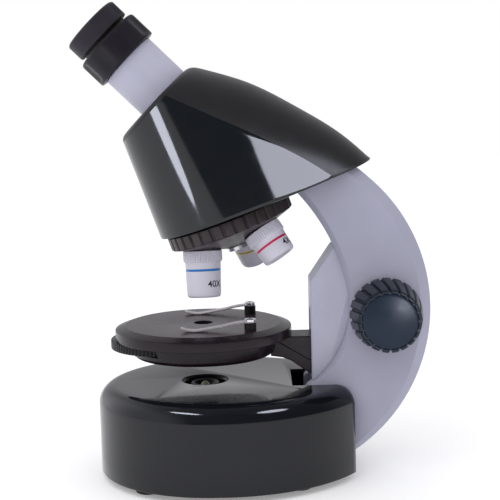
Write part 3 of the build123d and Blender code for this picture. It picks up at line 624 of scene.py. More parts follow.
def hoodMesh():
    tilt = math.radians(hood["faceTilt"])
    tube = Vector((0, -math.sin(tilt), math.cos(tilt)))
    rings, kinds = hoodRings()
    top = rings.pop()
    count = range(len(top))
    edge = hood["edgeRound"]

    def aboveFace(p):
        return (p - top[0]).dot(tube)

    # on each column, the point where the rounding of the top edge begins
    turnFrom = []
    for i in count:
        p = top[i]
        for ring in reversed(rings):
            below = aboveFace(ring[i])
            if below <= -edge:
                turnFrom.append(ring[i].lerp(p, (-edge - below) / (aboveFace(p) - below)))
                break
            p = ring[i]
        else:
            turnFrom.append(rings[0][i])
    trimmed = [[ring[i] if aboveFace(ring[i]) < -edge - 0.05 else turnFrom[i] for i in count]
               for ring in rings]
    shifts = inward(top, tube)
    rounding = []
    for step in range(1, 7):
        a = math.pi / 2 * step / 6
        out, over = math.sin(a), edge * (1 - math.cos(a))
        rounding.append([turnFrom[i].lerp(top[i], out) + shifts[i] * over for i in count])
    # flat face from the rounded edge to the hole for the tube
    centre = Vector(hood["mirrorAt"]) + tube * hood["faceAt"]
    across = Vector((1, 0, 0))
    upwards = tube.cross(across)
    rim = []
    for p in rounding[-1]:
        a = math.atan2((p - centre).dot(upwards), (p - centre).dot(across))
        rim.append(centre + (across * math.cos(a) + upwards * math.sin(a)) * hood["tubeHole"])
    face = [[p.lerp(q, t) for p, q in zip(rounding[-1], rim)] for t in (0.33, 0.66, 1.0)]
    # the lower edge turns under
    low = rings[0]
    lowShifts = inward(low, Vector((0, 0, 1)))
    under = [[p + q * reach + Vector((0, 0, rise)) for p, q in zip(low, lowShifts)]
             for reach, rise in ((0.5, 0.0), (0.15, 0.13))]
    lowest = [p + Vector((0, 0, 0.5)) for p in low]
    bm = bmesh.new()
    made = [[bm.verts.new(p) for p in ring] for ring in under + [lowest] + trimmed[1:] + rounding + face]
    faceFrom = len(under) + len(trimmed) - 1
    for i in range(len(made) - 1):
        for k in count:
            j = (k + 1) % len(top)
            f = bm.faces.new((made[i][k], made[i][j], made[i + 1][j], made[i + 1][k]))
            # roof points and the tube's face take the second finish, the roof's painted reflection
            kind = kinds[k] if kinds[k] == kinds[j] else 2
            f.material_index = kind if i < faceFrom else 1
    return bm


hoodShell = newPiece("hoodShell", hoodMesh(), headPlace(),
                     "hoodGloss hoodRoof hoodGloss",
                     "stand", ["hood_shell"], sharp=40)
thick = hoodShell.modifiers.new("wall", "SOLIDIFY")
thick.thickness = hood["wall"] * mm
thick.offset = -1
applyModifiers(hoodShell)
crispEdges(hoodShell, 40)
print("hood done:", len(hoodShell.data.polygons), "faces")


drum = {
    "low": 3.0, "high": 47.0, "radius": 60.5, "centreY": 6.0, "rearY": 75.0, "rearHalf": 25.5,
    "flankX": 53.9, "flankY": 42.0,    # a point on the curve from the round front to the rear corner
    "topRound": 9.0, "footRound": 0.8, "wall": 2.4,
    "slotHalf": 18.6, "slotFront": 44.4, "slotFloor": 9.5, "lampHole": 12.1,
}


def arcThrough(a, b, c, steps):
    # points from a to c on the circle through a, b and c
    (ax, ay), (bx, by), (cx, cy) = a, b, c
    aa, bb, cc = ax * ax + ay * ay, bx * bx + by * by, cx * cx + cy * cy
    d = 2 * (ax * (by - cy) + bx * (cy - ay) + cx * (ay - by))
    ux = (aa * (by - cy) + bb * (cy - ay) + cc * (ay - by)) / d
    uy = (aa * (cx - bx) + bb * (ax - cx) + cc * (bx - ax)) / d
    r = math.dist((ux, uy), a)
    start = math.atan2(ay - uy, ax - ux)
    turn = (math.atan2(cy - uy, cx - ux) - start + math.pi) % (2 * math.pi) - math.pi
    angles = [start + turn * k / steps for k in range(steps + 1)]
    return [(ux + r * math.cos(t), uy + r * math.sin(t)) for t in angles]


def drumOutline(inset):
    side, rear = drum["radius"] - inset, drum["rearY"] - inset
    corner = drum["rearHalf"] - inset * 0.7
    flank = (drum["flankX"] - inset * 0.86, drum["flankY"] - inset * 0.2)
    curve = arcThrough((side, drum["centreY"]), flank, (corner, rear), 30)[1:]
    front = [math.pi + math.pi * k / 96 for k in range(97)]
    line = [(side * math.cos(a), drum["centreY"] + side * math.sin(a)) for a in front]
    line += curve
    line += [(corner - 2 * corner * k / 14, rear) for k in range(1, 14)]
    line += [(-x, y) for x, y in reversed(curve)]
    return line


def drumShell():
    low, high = drum["low"], drum["high"]
    foot, topRound, wall = drum["footRound"], drum["topRound"], drum["wall"]
    bm = bmesh.new()

    def ring(inset, z):
        return [bm.verts.new((x, y, z)) for x, y in drumOutline(inset)]

    rings = [ring(wall, low), ring(foot, low), ring(0.2, low + 0.2), ring(0, low + foot)]
    for step in range(1, 5):
        rings.append(ring(0, low + foot + (high - topRound - low - foot) * step / 4))
    for step in range(1, 13):
        a = math.pi / 2 * step / 12
        rings.append(ring(topRound * (1 - math.cos(a)), high - topRound + topRound * math.sin(a)))
    rings.append(ring(topRound + 3, high))
    bridgeRings(bm, rings)
    bm.faces.new(rings[-1])
    # inside skin
    inner = [ring(wall, low + 1), ring(wall, high - topRound), ring(wall + 2.2, high - 4.6),
             ring(wall + 7, high - 2.4)]
    bridgeRings(bm, [rings[0]] + inner)
    bm.faces.new(list(reversed(inner[-1])))
    return bm


drumPiece = newPiece("drumShell", drumShell(), onAxis, "drumGloss", "stand",
                     ["base_shell"])
slotCutter = boxMesh((-drum["slotHalf"], drum["slotFront"], drum["slotFloor"]), (drum["slotHalf"], 80, 60))
cutAway(drumPiece, slotCutter, onAxis, "armSlot")
cutAway(drumPiece, rodMesh(drum["lampHole"], 60, 38, 96), onAxis, "lampSlot")
cutAway(drumPiece, boxMesh((-64, 3.7, 21.7), (-55, 12.3, 26.3)), onAxis, "switchSlot")
bevelPiece(drumPiece, 0.5, 3, 50)
crispEdges(drumPiece, 45)
print("drum done:", len(drumPiece.data.polygons), "faces")


arm = {
    "half": 18.0, "outerBevel": 5.4, "innerBevel": 2.6,
    "outerCentre": (27.0, 84.1), "outerRadius": 87.7,
    "innerCentre": (26.2, 86.2), "innerRadius": 47.6, "upperRadius": 100.0, "joinAngle": 10.6,
    "footZ": 10.0, "frontY": 51.2,
    "screws": [(101.0, 58.0), (98.0, 110.0), (83.0, 131.0), (87.0, 36.0)],
}
guide = {"half": 12.0, "front": 54.5, "rear": 80.0, "low": 22.0, "knee": 98.0, "topFront": 66.5, "top": 115.5,
         "channelHalf": 9.2, "channelFront": 57.0, "windowTop": 83.5}
knob = {
    "y": 91.5, "z": 82.7, "back": 20.2, "front": 42.4, "backRadius": 18.2, "frontRadius": 15.6,
    "lugs": 20, "lugDepth": 1.8, "slant": 0.17, "capRadius": 13.6, "capRise": 1.6,
}


def armInner(z):
    # y of the inner face at a height
    cy, cz = arm["innerCentre"]
    r, big = arm["innerRadius"], arm["upperRadius"]
    a = math.radians(arm["joinAngle"])
    joinZ = cz + r * math.sin(a)
    if z <= joinZ:
        d = r * r - (z - cz) ** 2
        return max(arm["frontY"], cy + math.sqrt(d)) if d > 0 else arm["frontY"]
    uy = cy - (big - r) * math.cos(a)
    uz = cz - (big - r) * math.sin(a)
    return uy + math.sqrt(max(0, big * big - (z - uz) ** 2))


def underHood(y, z):
    # height above the hood's lower edge, measured square to it
    c, s = math.cos(headTilt), math.sin(headTilt)
    return (y - headDrop * s) * -s + (z - (apexZ - headDrop * c)) * c


def armHalf(side):
    # slices run square to the middle line, from the foot up to the hood's lower edge
    slices, half, r = 90, arm["half"], arm["outerRadius"]
    cy, cz = arm["outerCentre"]
    lowAngle = math.asin((arm["footZ"] - cz) / r)
    highAngle = lowAngle
    while underHood(cy + r * math.cos(highAngle), cz + r * math.sin(highAngle)) < 0:
        highAngle += 0.001
    highZ = 110.0
    while underHood(armInner(highZ), highZ) < 0:
        highZ += 0.05
    heights = [arm["footZ"] + (highZ - arm["footZ"]) * k / 400 for k in range(401)]
    inner = evenSteps([(armInner(z), z) for z in heights], slices)
    bm = bmesh.new()
    rings = []
    for k, start in enumerate(inner):
        t = k / slices
        a = lowAngle + (highAngle - lowAngle) * t
        across = Vector((cy + r * math.cos(a), cz + r * math.sin(a))) - start
        wide = across.length
        outerBevel = min(arm["outerBevel"], wide * 0.4)
        innerBevel = min(arm["innerBevel"] * (0.45 + 0.75 * t), wide * 0.3)
        # corners as (distance from the inner face, x, radius), from the seam round to the seam
        section = softCorners([
            (0, 0.06, 0), (0, half - innerBevel, 0.5), (innerBevel, half, 0.5),
            (wide - outerBevel, half, 0.6),
            (wide, half - outerBevel, 0.6), (wide, 0.5, 0.15), (wide - 0.35, 0.06, 0),
        ], 3)
        places = [(start + across.normalized() * d, x) for d, x in section]
        rings.append([bm.verts.new((side * x, p.x, p.y)) for p, x in places])
    bridgeRings(bm, rings)
    capEnds(bm, rings)
    return bm


for side, name, node in ((-1, "armLeft", "arm_left"), (1, "armRight", "arm_right")):
    piece = newPiece(name, armHalf(side), onAxis, "armPaint", "stand", [node])
    pocket = [(54.4, 16), (54.4, 98.1), (66.4, 115.6), (80.2, 115.6), (80.2, 16)]
    cutAway(piece, slabMesh(pocket, [(-12.05, 0), (12.05, 0)]), onAxis, "columnSlot")
    cutAway(piece, boxMesh((-9.2, 40, 39.5), (9.2, 56, 70.1)), onAxis, "gussetSlot")
    cutAway(piece, rodMesh(10, -9, 9, 48), acrossPlace(knob["y"], knob["z"], 1), "gearRoom")
    cutAway(piece, rodMesh(5.05, -20, 20, 48), acrossPlace(knob["y"], knob["z"], 1), "shaftRoom")
    if side < 0:
        for y, z in arm["screws"]:
            cutAway(piece, rodMesh(3.3, 16.2, 20, 32), acrossPlace(y, z, -1), "screwRoom")
    crispEdges(piece, 30)
print("arm done")


def columnMesh():
    # guide channel: two cheeks and a sloping shoulder
    g = guide
    outline = softCorners([
        (g["front"], g["low"], 0.5), (g["front"], g["knee"], 2.0), (g["topFront"], g["top"], 2.5),
        (g["rear"], g["top"], 0.5), (g["rear"], g["low"], 0.5)], 3)
    half = g["half"]
    return slabMesh(outline, [(-half, 0.5), (0.5 - half, 0), (half - 0.5, 0), (half, 0.5)])


# the column is the arms' silver plastic; the paler tube paint on it is painted light for its brighter lit
# face
columnPiece = newPiece("guideColumn", columnMesh(), onAxis, "tubePaint", "stand",
                  ["guide_column"])
inside, front, floor = guide["channelHalf"], guide["channelFront"], guide["low"] - 2
channel = [(front, floor), (front, 96.8), (68, 112.6), (82, 112.6), (82, floor)]
cutAway(columnPiece, slabMesh(channel, [(-inside, 0), (inside, 0)]), onAxis, "channel")
window = boxMesh((-inside, 50, floor), (inside, front + 1, guide["windowTop"]))
cutAway(columnPiece, window, onAxis, "frontSlot")
bevelPiece(columnPiece, 0.35, 2, 50)
crispEdges(columnPiece, 35)
print("column done")


def knobMesh():
    # lobed skirt whose lobes lean as they run outwards
    def lobes(r, z, a):
        t = (z - knob["back"]) / (knob["front"] - knob["back"])
        phase = knob["lugs"] * (a + knob["slant"] * t)
        wave = 0.5 + 0.5 * math.cos(phase)
        lobe = smoothStep((wave - 0.03) / 0.24)
        fade = smoothStep(min(1, (r - 12.0) / 2.0)) if r > 12 else 0
        ends = smoothStep(t / 0.06) * smoothStep((1.0 - t) / 0.08) if 0 <= t <= 1 else 0
        return r - knob["lugDepth"] * (1 - lobe) * fade * (0.35 + 0.65 * ends)

    b, f = knob["back"], knob["front"]
    br, fr = knob["backRadius"], knob["frontRadius"]
    line = [(2.5, b), (br - 1.4, b), (br - 0.35, b + 0.35), (br, b + 1.3)]
    for k in range(1, 16):
        t = k / 16
        line.append((br + (fr - br) * t ** 1.3, b + 1.3 + (f - 1.6 - b - 1.3) * t))
    line += [(fr, f - 1.6), (fr - 0.25, f - 0.7), (fr - 0.8, f - 0.15), (fr - 1.5, f), (fr - 1.9, f - 0.25),
             (knob["capRadius"] + 0.05, f - 0.6), (knob["capRadius"] + 0.05, f - 3.0), (2.5, f - 3.0)]
    return latheMesh(line, 480, lobes)


def capMesh():
    f = knob["front"]
    r = knob["capRadius"]
    line = [(0, f - 2.9), (r, f - 2.9), (r, f - 0.5), (r - 0.12, f - 0.15), (r - 0.5, f + 0.12)]
    for k in range(1, 13):
        t = k / 12
        line.append(((r - 0.5) * (1 - t), f + 0.12 + knob["capRise"] * (1 - (1 - t) ** 2)))
    return latheMesh(line, 128, closed=False)


for side, word in ((-1, "Left"), (1, "Right")):
    place = acrossPlace(knob["y"], knob["z"], side)
    grip = newPiece("knob" + word, knobMesh(), place, "knobSlate", "focus",
                    ["knob_" + word.lower()], sharp=50)
    cap = newPiece("knobCap" + word, capMesh(), place, "knobFace", "focus",
                   ["knob_cap_" + word.lower()], sharp=50)
print("knobs done")


stage = {
    "top": 76.9, "radius": 45.0, "flat": 39.75, "wallTop": 75.1, "wallLow": 70.15,
    "panRadius": 38.4, "panLow": 61.2, "wheelY": -17.5, "wheelRadius": 30.0, "wheelGrooves": 90,
    "lightHoles": (4.5, 3.6, 2.7, 1.9, 1.2, 0.7), "lightHolesAt": 17.5,
    # hole radii, and how far they sit out
}


def stagePlateMesh():
    top = stage["top"]
    line = softCorners([
        (4.85, top, 0.35), (stage["flat"], top, 0.5), (stage["radius"], stage["wallTop"], 0.6),
        (stage["radius"], stage["wallLow"], 0.4), (stage["radius"] - 2.6, stage["wallLow"], 0.3),
        (stage["radius"] - 2.6, top - 4.2, 0.4), (34.4, top - 4.2, 0.2), (34.4, top - 3.0, 0.2),
        (4.85, top - 3.0, 0.2),
    ], 4)
    bm = latheMesh(line, 180)
    for f in bm.faces:    # the flat top gets a paler copy of the rim's plastic: painted reflection of the bright room
        f.material_index = 0 if f.calc_center_median().z > top - 0.1 else 1
    return bm


def stagePanMesh():
    low, r, high = stage["panLow"], stage["panRadius"], stage["wallLow"] - 0.05
    line = softCorners([
        (7, low, 0.4), (r - 3.6, low, 1.2), (r - 1.5, low + 1.7, 1.5), (r, high, 0.3), (r - 1.6, high, 0.2),
        (r - 2.9, low + 2.7, 1.0), (r - 4, low + 1.8, 0.5), (7, low + 1.8, 0.3),
    ], 4)
    return latheMesh(line, 180)


newPiece("stagePlate", stagePlateMesh(), onAxis, "stageTop stageGloss",
         "stage", ["stage_plate"], sharp=35)
pan = newPiece("stagePan", stagePanMesh(), onAxis, "stageGloss", "stage",
               ["stage_pan"], sharp=35)
cutAway(pan, rodMesh(30.8, 65.0, 72, 120), upright(0, stage["wheelY"], 0), "wheelSlot")
crispEdges(pan, 35)


def wheelMesh():
    # grip rim with upright grooves, thin web, light holes
    low, high, r = 65.6, 69.9, stage["wheelRadius"]

    def grooves(rr, z, a):
        if rr < r - 0.6:
            return rr
        wave = 0.5 + 0.5 * math.cos(stage["wheelGrooves"] * a)
        return rr - 0.55 * (1 - smoothStep(wave / 0.45))

    line = softCorners([
        (1.95, high, 0), (r, high, 0.4), (r, low, 0.4), (r - 2.2, low, 0.2), (r - 2.2, high - 1.4, 0.2),
        (1.95, high - 1.4, 0),
    ], 3)
    return latheMesh(line, 720, grooves)


wheel = newPiece("diaphragmWheel", wheelMesh(), upright(0, stage["wheelY"], 0), "ribBlack", "diaphragm",
                 ["diaphragm_wheel"], sharp=35)
for index, hole in enumerate(stage["lightHoles"]):
    a = math.radians(90 + 60 * index)
    x, y = stage["lightHolesAt"] * math.cos(a), stage["wheelY"] + stage["lightHolesAt"] * math.sin(a)
    cutAway(wheel, rodMesh(hole, 60, 72, 40), upright(x, y, 0), "lightHole")
crispEdges(wheel, 35)
print("stage and diaphragm done")


carriage = {"half": 9.0, "low": 50.0, "front": 66.0, "rear": 81.8, "top": 100.5, "toothHalf": 4.5}


def carriageMesh():
    # arched gusset under the stage, then the slide with its rack
    low, half, top = carriage["low"], carriage["half"], carriage["top"]
    gusset = softCorners([
        (34, 70.1, 0.3), (34, 60.2, 0.6), (40, 59.3, 2), (44.5, 57.4, 3), (48, 54.8, 3), (51.5, 52.2, 2),
        (54.5, 50.4, 1.5), (carriage["front"], low, 0.5), (carriage["front"], 70.1, 0.5)], 4)
    gussetLevels = [(-half, 0.7), (0.2 - half, 0.2), (0.7 - half, 0), (half - 0.7, 0), (half - 0.2, 0.2),
                    (half, 0.7)]
    slide = softCorners([
        (carriage["front"], low, 0.4), (carriage["front"], top - 2.5, 0.3),
        (carriage["front"] + 1.6, top, 0.3),
        (carriage["rear"], top, 0.4), (carriage["rear"], low, 0.4)], 3)
    slideLevels = [(-half, 0.5), (0.5 - half, 0), (half - 0.5, 0), (half, 0.5)]
    wide = carriage["toothHalf"]
    spine = boxMesh((-wide, 81, 65), (wide, 83.3, top), 0.3)
    teeth = []
    for step in range(-7, 6):
        z = knob["z"] + (step + 0.5) * math.pi * 0.8    # one tooth every pi times the gear's module
        corners = [(83.2, z - 0.84), (83.3, z - 0.84), (85.06, z - 0.2), (85.06, z + 0.2), (83.3, z + 0.84),
                   (83.2, z + 0.84)]
        teeth.append(slabMesh(corners, [(-wide, 0), (wide, 0)]))
    return mergeMeshes([slabMesh(gusset, gussetLevels), slabMesh(slide, slideLevels), spine] + teeth)


newPiece("stageCarriage", carriageMesh(), onAxis, "carriageSatin", "stage",
         ["stage_carriage"], sharp=15)


clip = {"x": 24.0, "y": 24.0, "seat": 3.95, "thick": 0.6, "half": 2.9, "postRadius": 3.0, "postRibs": 14}


def clipMesh():
    # spring strip: eye over the post, slope down to the stage, upturned tip
    top, t = stage["top"], clip["thick"]
    seat, low = top + clip["seat"], top + 0.15
    path = [(2.9, seat), (0, seat), (-4.0, seat), (-8.5, seat - 0.7), (-13, seat - 1.7), (-25, low + 0.02),
            (-28.2, low), (-30.8, low + 0.25), (-32.8, low + 0.85), (-34.4, low + 1.5)]
    fine = []
    for (y, z), (nextY, nextZ) in zip(path, path[1:]):
        fine += [(y + (nextY - y) * k / 6, z + (nextZ - z) * k / 6) for k in range(6)]
    fine.append(path[-1])
    for _ in range(3):    # relax the corners into bends
        inner = [(p[0], (fine[i][1] + p[1] + fine[i + 2][1]) / 3) for i, p in enumerate(fine[1:-1])]
        fine = [fine[0]] + inner + [fine[-1]]
    bm = bmesh.new()
    rings = []
    tipFrom = fine[-1][0] + 1.6
    for y, z in fine:
        half = clip["half"]
        if y > 0:
            half = math.sqrt(max(0.02, clip["half"] ** 2 - y * y))
        elif y < tipFrom:
            half -= 1.3 * ((tipFrom - y) / 1.6) ** 2
        half = max(half, 0.15)
        e = 0.12    # edge rounding
        rings.append([bm.verts.new(p) for p in (
            (-half, y, z + e), (-half + e, y, z), (half - e, y, z), (half, y, z + e), (half, y, z + t - e),
            (half - e, y, z + t), (-half + e, y, z + t), (-half, y, z + t - e))])
    bridgeRings(bm, rings)
    capEnds(bm, rings)
    return bm


for side, word in ((-1, "Left"), (1, "Right")):
    post = upright(side * clip["x"], clip["y"], 0)
    strip = newPiece("clip" + word, clipMesh(), post, "springSteel", "clip_" + word.lower() + "_arm",
                     ["clip_" + word.lower()], sharp=50)
    cutAway(strip, rodMesh(1.46, 70, 90, 32), post, "screwHole")
    crispEdges(strip, 50)


def postMesh():
    top, r = stage["top"], clip["postRadius"]

    def ribs(radius, z, a):
        if radius < r - 0.4:
            return radius
        wave = 0.5 + 0.5 * math.cos(clip["postRibs"] * a)
        return radius - 0.3 * (1 - smoothStep(wave / 0.5)) * smoothStep((z - top - 0.2) / 0.3)

    line = softCorners([(1.42, top, 0), (r, top, 0), (r, top + 3.9, 0.3), (1.42, top + 3.9, 0)], 3)
    line.insert(2, (r, top + 0.25))
    return latheMesh(line, 168, ribs)


def panScrewHead(radius, height, crossHalf, crossWide, crossDeep):
    # domed head with a cross sunk into it
    segments, rows = 96, 22
    angles = [2 * math.pi * k / segments for k in range(segments)]

    def surface(x, y):
        z = height * math.sqrt(max(0.0, 1 - 0.62 * (math.hypot(x, y) / radius) ** 2.4))
        slotX = smoothStep((crossWide - abs(x)) / 0.14) * smoothStep((crossHalf - abs(y)) / 0.2)
        slotY = smoothStep((crossWide - abs(y)) / 0.14) * smoothStep((crossHalf - abs(x)) / 0.2)
        return z - crossDeep * max(slotX, slotY)

    bm = bmesh.new()
    rings = []
    for r in [0.001] + [radius * k / rows for k in range(1, rows + 1)]:
        places = [(r * math.cos(a), r * math.sin(a)) for a in angles]
        rings.append([bm.verts.new((x, y, surface(x, y))) for x, y in places])
    low = [bm.verts.new((radius * math.cos(a), radius * math.sin(a), 0)) for a in angles]
    bridgeRings(bm, rings + [low])
    bm.faces.new(rings[0])
    bm.faces.new(list(reversed(low)))
    return bm


posts, heads = [], []
for side in (-1, 1):
    onPost = Matrix.Translation((side * clip["x"], clip["y"], 0))
    low = stage["top"] + clip["seat"] + clip["thick"] + 0.05
    posts.append(moved(postMesh(), onPost))
    heads.append(moved(panScrewHead(2.9, 1.5, 1.7, 0.42, 0.75), onPost @ Matrix.Translation((0, 0, low))))
    heads.append(moved(rodMesh(1.4, low - 8, low + 0.05, 32), onPost))
newPiece("clipPosts", mergeMeshes(posts), onAxis, "ribBlack", "stage", ["clip_posts"])
newPiece("clipScrews", mergeMeshes(heads), onAxis, "screwChrome", "stage", ["clip_screws"],
         sharp=40)
print("clips done")


turret = {"radius": 32.5, "top": -1.0, "ringLow": -7.6, "ribs": 34, "ribDepth": 0.9}
tiltSlope = math.tan(headTilt)
coneMiddle = headDrop - shoulder * math.cos(headTilt) - shoulder * math.sin(headTilt) * tiltSlope


def turretMesh():
    def ribs(r, z, a):
        if r < turret["radius"] - 2.2 or z < turret["ringLow"] - 0.9:
            return r
        wave = 0.5 + 0.5 * math.cos(turret["ribs"] * a)
        ends = smoothStep((z - turret["ringLow"] + 0.5) / 0.8)
        return r - turret["ribDepth"] * (1 - smoothStep((wave - 0.02) / 0.2)) * ends

    def cone(x):    # height of the conical underside this far out
        return coneMiddle + x * tiltSlope

    r, top = turret["radius"], turret["top"]
    line = softCorners([
        (4.05, top, 0), (9, top, 0.2), (9, cone(9) + 2.6, 0.5), (r - 2.4, cone(r - 2.4) + 2.6, 0.5),
        (r - 2.4, top, 0.2), (r, top, 0.5), (r, turret["ringLow"], 0.8), (r - 1.0, cone(r - 1.0) - 0.02, 0.4),
        (6.4, cone(6.4), 0.3), (4.05, cone(6.4), 0),
    ], 4)
    return latheMesh(denser(line, 2.2), 544, ribs)


newPiece("nosepieceTurret", turretMesh(), headPlace(), "turretSatin", "nosepiece",
         ["nosepiece_turret"], sharp=35)

objectives = {
    "4x": {"turn": 240, "tip": 73.1, "bore": 4.4, "band": "redBand", "bandAt": 8.4, "mark": "4X",
           "markAt": 13.6, "markRadius": 8.72, "markSide": 58},
    "10x": {"turn": 120, "tip": 75.5, "bore": 3.0, "band": "yellowBand", "bandAt": 8.8, "mark": "10X",
            "markAt": 15.0, "markRadius": 8.7, "markSide": 62},
    "40x": {"turn": 0, "tip": 80.0, "bore": 2.0, "band": "blueBand", "bandAt": 9.2, "mark": "40X",
            "markAt": 18.3, "markRadius": 8.66, "markSide": 42},
}
bandTall = 1.15
knurlRibs = 46
markSize = 4.7


def objectiveMesh(o):
    low, tip, bore = shoulder, o["tip"], o["bore"]

    def knurl(r, z, a):
        if r < 9.45 or not low + 0.5 < z < low + 5.4:
            return r
        wave = 0.5 + 0.5 * math.cos(knurlRibs * a)
        ends = smoothStep((z - low - 0.4) / 0.4) * smoothStep((low + 5.6 - z) / 0.3)
        return r - 0.42 * (1 - smoothStep(wave / 0.42)) * ends

    def barrel(z):    # the barrel narrows a little towards its tip
        return 9.0 - 0.5 * (z - low - 6) / (tip - low - 6)

    bandLow = low + o["bandAt"]
    bandHigh = bandLow + bandTall
    line = [(bore, low - 4.5), (6.0, low - 4.5), (6.0, low), (9.3, low)]
    line += [(9.75, low + 0.25), (9.85, low + 0.7), (9.85, low + 1.6), (9.85, low + 3.0), (9.85, low + 4.6)]
    line += [(9.8, low + 5.2), (9.6, low + 5.6), (9.2, low + 5.85), (barrel(low + 6), low + 6.1)]
    line += [(barrel(bandLow - 0.06), bandLow - 0.06), (barrel(bandLow) - 0.1, bandLow)]
    line += [(barrel(bandLow) - 0.1, bandHigh), (barrel(bandHigh + 0.06), bandHigh + 0.06)]
    line += [(barrel(z), z) for z in (bandLow + 4, tip - 3.2, tip - 1.6)]
    line += [(8.35, tip - 0.85), (8.05, tip - 0.3), (7.5, tip - 0.04), (7.0, tip)]
    line += [(bore + 2.2, tip), (bore + 1.7, tip - 0.3), (bore + 0.3, tip - 1.5), (bore, tip - 1.7)]
    bm = latheMesh(line, 368, knurl)
    for f in bm.faces:
        x, y, z = f.calc_center_median()
        if bandLow - 0.01 < z < bandHigh + 0.01 and math.hypot(x, y) > 8:
            f.material_index = 1
    return bm


def markMesh(text, radius, height, size, turn):
    # number curved round the barrel; height runs along the objective's axis
    curve = bpy.data.curves.new("mark" + text, "FONT")
    curve.body = text
    curve.size = size
    curve.align_x = "CENTER"
    curve.extrude = 0.04
    curve.offset = 0.05
    curve.resolution_u = 4
    holder = bpy.data.objects.new("mark" + text, curve)
    bpy.context.scene.collection.objects.link(holder)
    bpy.context.view_layer.update()
    mesh = bpy.data.meshes.new_from_object(holder.evaluated_get(bpy.context.evaluated_depsgraph_get()))
    bpy.data.objects.remove(holder)
    bm = bmesh.new()
    bm.from_mesh(mesh)
    bpy.data.meshes.remove(mesh)
    bmesh.ops.triangulate(bm, faces=bm.faces)
    bmesh.ops.subdivide_edges(bm, edges=[e for e in bm.edges if e.calc_length() > 0.6], cuts=1)
    for v in bm.verts:
        a = math.radians(turn) - v.co.x / radius
        r = radius + 0.08 + v.co.z
        v.co = Vector((r * math.cos(a), r * math.sin(a), height - v.co.y))
    return bm


for name, o in objectives.items():
    place = objectivePlace(o["turn"])
    newPiece("objective" + name, objectiveMesh(o), place, "objectivePaint " + o["band"],
             "nosepiece", ["objective_" + name], sharp=38)
    facing = math.degrees(math.atan2(place[0][1], place[0][0]))    # the barrel's side towards +X
    mark = markMesh(o["mark"], o["markRadius"], shoulder + o["markAt"], markSize, facing - o["markSide"])
    newPiece("mark" + name, mark, place, "markInk", "nosepiece")
print("nosepiece and objectives done")


tubeSettings = {"radius": 15.0, "start": 17.5, "collarStart": 47.7, "collarEnd": 62.0, "neck": 13.5,
                "bore": 11.55}


def eyepieceTubeMesh():
    t = tubeSettings
    line = softCorners([
        (t["bore"], t["start"], 0), (t["radius"], t["start"], 0.2),
        (t["radius"], t["collarStart"] - 0.1, 0.5),
        (t["neck"], t["collarStart"] - 0.1, 0), (t["neck"], 54.8, 0.2), (t["bore"], 54.8, 0),
    ], 4)
    return latheMesh(line, 128)


def collarMesh():
    # eight broad hollows round the grip
    low, high = tubeSettings["collarStart"], tubeSettings["collarEnd"]

    def scallops(r, z, a):
        if r < 16:
            return r
        wave = abs(((a / (2 * math.pi) * 8) % 1) - 0.5) * 2      # 1 on a ridge, 0 in the hollow's middle
        hollow = 1 - smoothStep(wave / 0.72) ** 1.3
        ends = smoothStep((z - low - 0.9) / 1.6) * smoothStep((high - 0.9 - z) / 1.4)
        return r - 1.0 * hollow * ends

    line = softCorners([
        (13.55, low, 0), (18.1, low, 0.9), (18.1, high, 1.9), (13.55, high, 0.3),
    ], 6)
    dense = []
    for i, p in enumerate(line):
        dense.append(p)
        n = line[(i + 1) % len(line)]
        gap = math.dist(p, n)
        parts = int(gap / 0.9)
        for k in range(1, parts):
            dense.append((p[0] + (n[0] - p[0]) * k / parts, p[1] + (n[1] - p[1]) * k / parts))
    return latheMesh(dense, 256, scallops)


def drawTubeMesh():
    line = softCorners([
        (9.6, 38, 0), (11.5, 38, 0.2), (11.5, 55.2, 0), (13.5, 55.2, 0.2), (13.5, 63.0, 0.1),
        (13.2, 63.4, 0.1),
        (13.2, 66, 0), (9.6, 66, 0)], 3)
    return latheMesh(line, 96)


def eyecupMesh():
    low, high, r = 63.8, 73.3, 15.75

    def ribs(rr, z, a):
        if rr < 15.0:
            return rr
        patch = smoothStep((math.cos(4 * a + 0.6) + 0.35) / 0.5)      # the ribs come in four patches
        wave = 0.5 + 0.5 * math.cos(96 * a)
        ends = smoothStep((z - low - 0.9) / 0.5) * smoothStep((high - 1.1 - z) / 0.5)
        return rr - 0.22 * (1 - wave) * patch * ends

    line = softCorners([
        (13.25, low, 0), (r - 0.2, low, 0.3), (r, low + 0.7, 0.4), (r, high - 0.9, 0.7), (r - 0.9, high, 0.7),
        (13.6, high, 0.6), (8.2, 69.6, 0.4), (8.2, 69.2, 0), (9.6, 69.2, 0), (9.6, 66.0, 0), (13.25, 66.0, 0),
    ], 5)
    dense = []
    for i, p in enumerate(line):
        dense.append(p)
        n = line[(i + 1) % len(line)]
        parts = int(math.dist(p, n) / 1.2)
        for k in range(1, parts):
            dense.append((p[0] + (n[0] - p[0]) * k / parts, p[1] + (n[1] - p[1]) * k / parts))
    return latheMesh(dense, 480, ribs)


newPiece("eyepieceTube", eyepieceTubeMesh(), tubePlace(), "tubePaint", "stand",
         ["eyepiece_tube"])
newPiece("zoomCollar", collarMesh(), tubePlace(), "collarSatin", "zoom_ring", ["zoom_collar"],
         sharp=45)
newPiece("drawTube", drawTubeMesh(), tubePlace(), "innerBlack", "eyepiece", ["draw_tube"])
newPiece("eyecup", eyecupMesh(), tubePlace(), "eyecupSatin", "eyepiece", ["eyecup"], sharp=45)


def lensMesh(radius, low, high, bulge):
    line = [(0, low), (radius, low), (radius, high)]
    for k in range(1, 11):
        t = k / 10
        line.append((radius * (1 - t), high + bulge * (1 - (1 - t) ** 2)))
    return latheMesh(line, 72, closed=False)


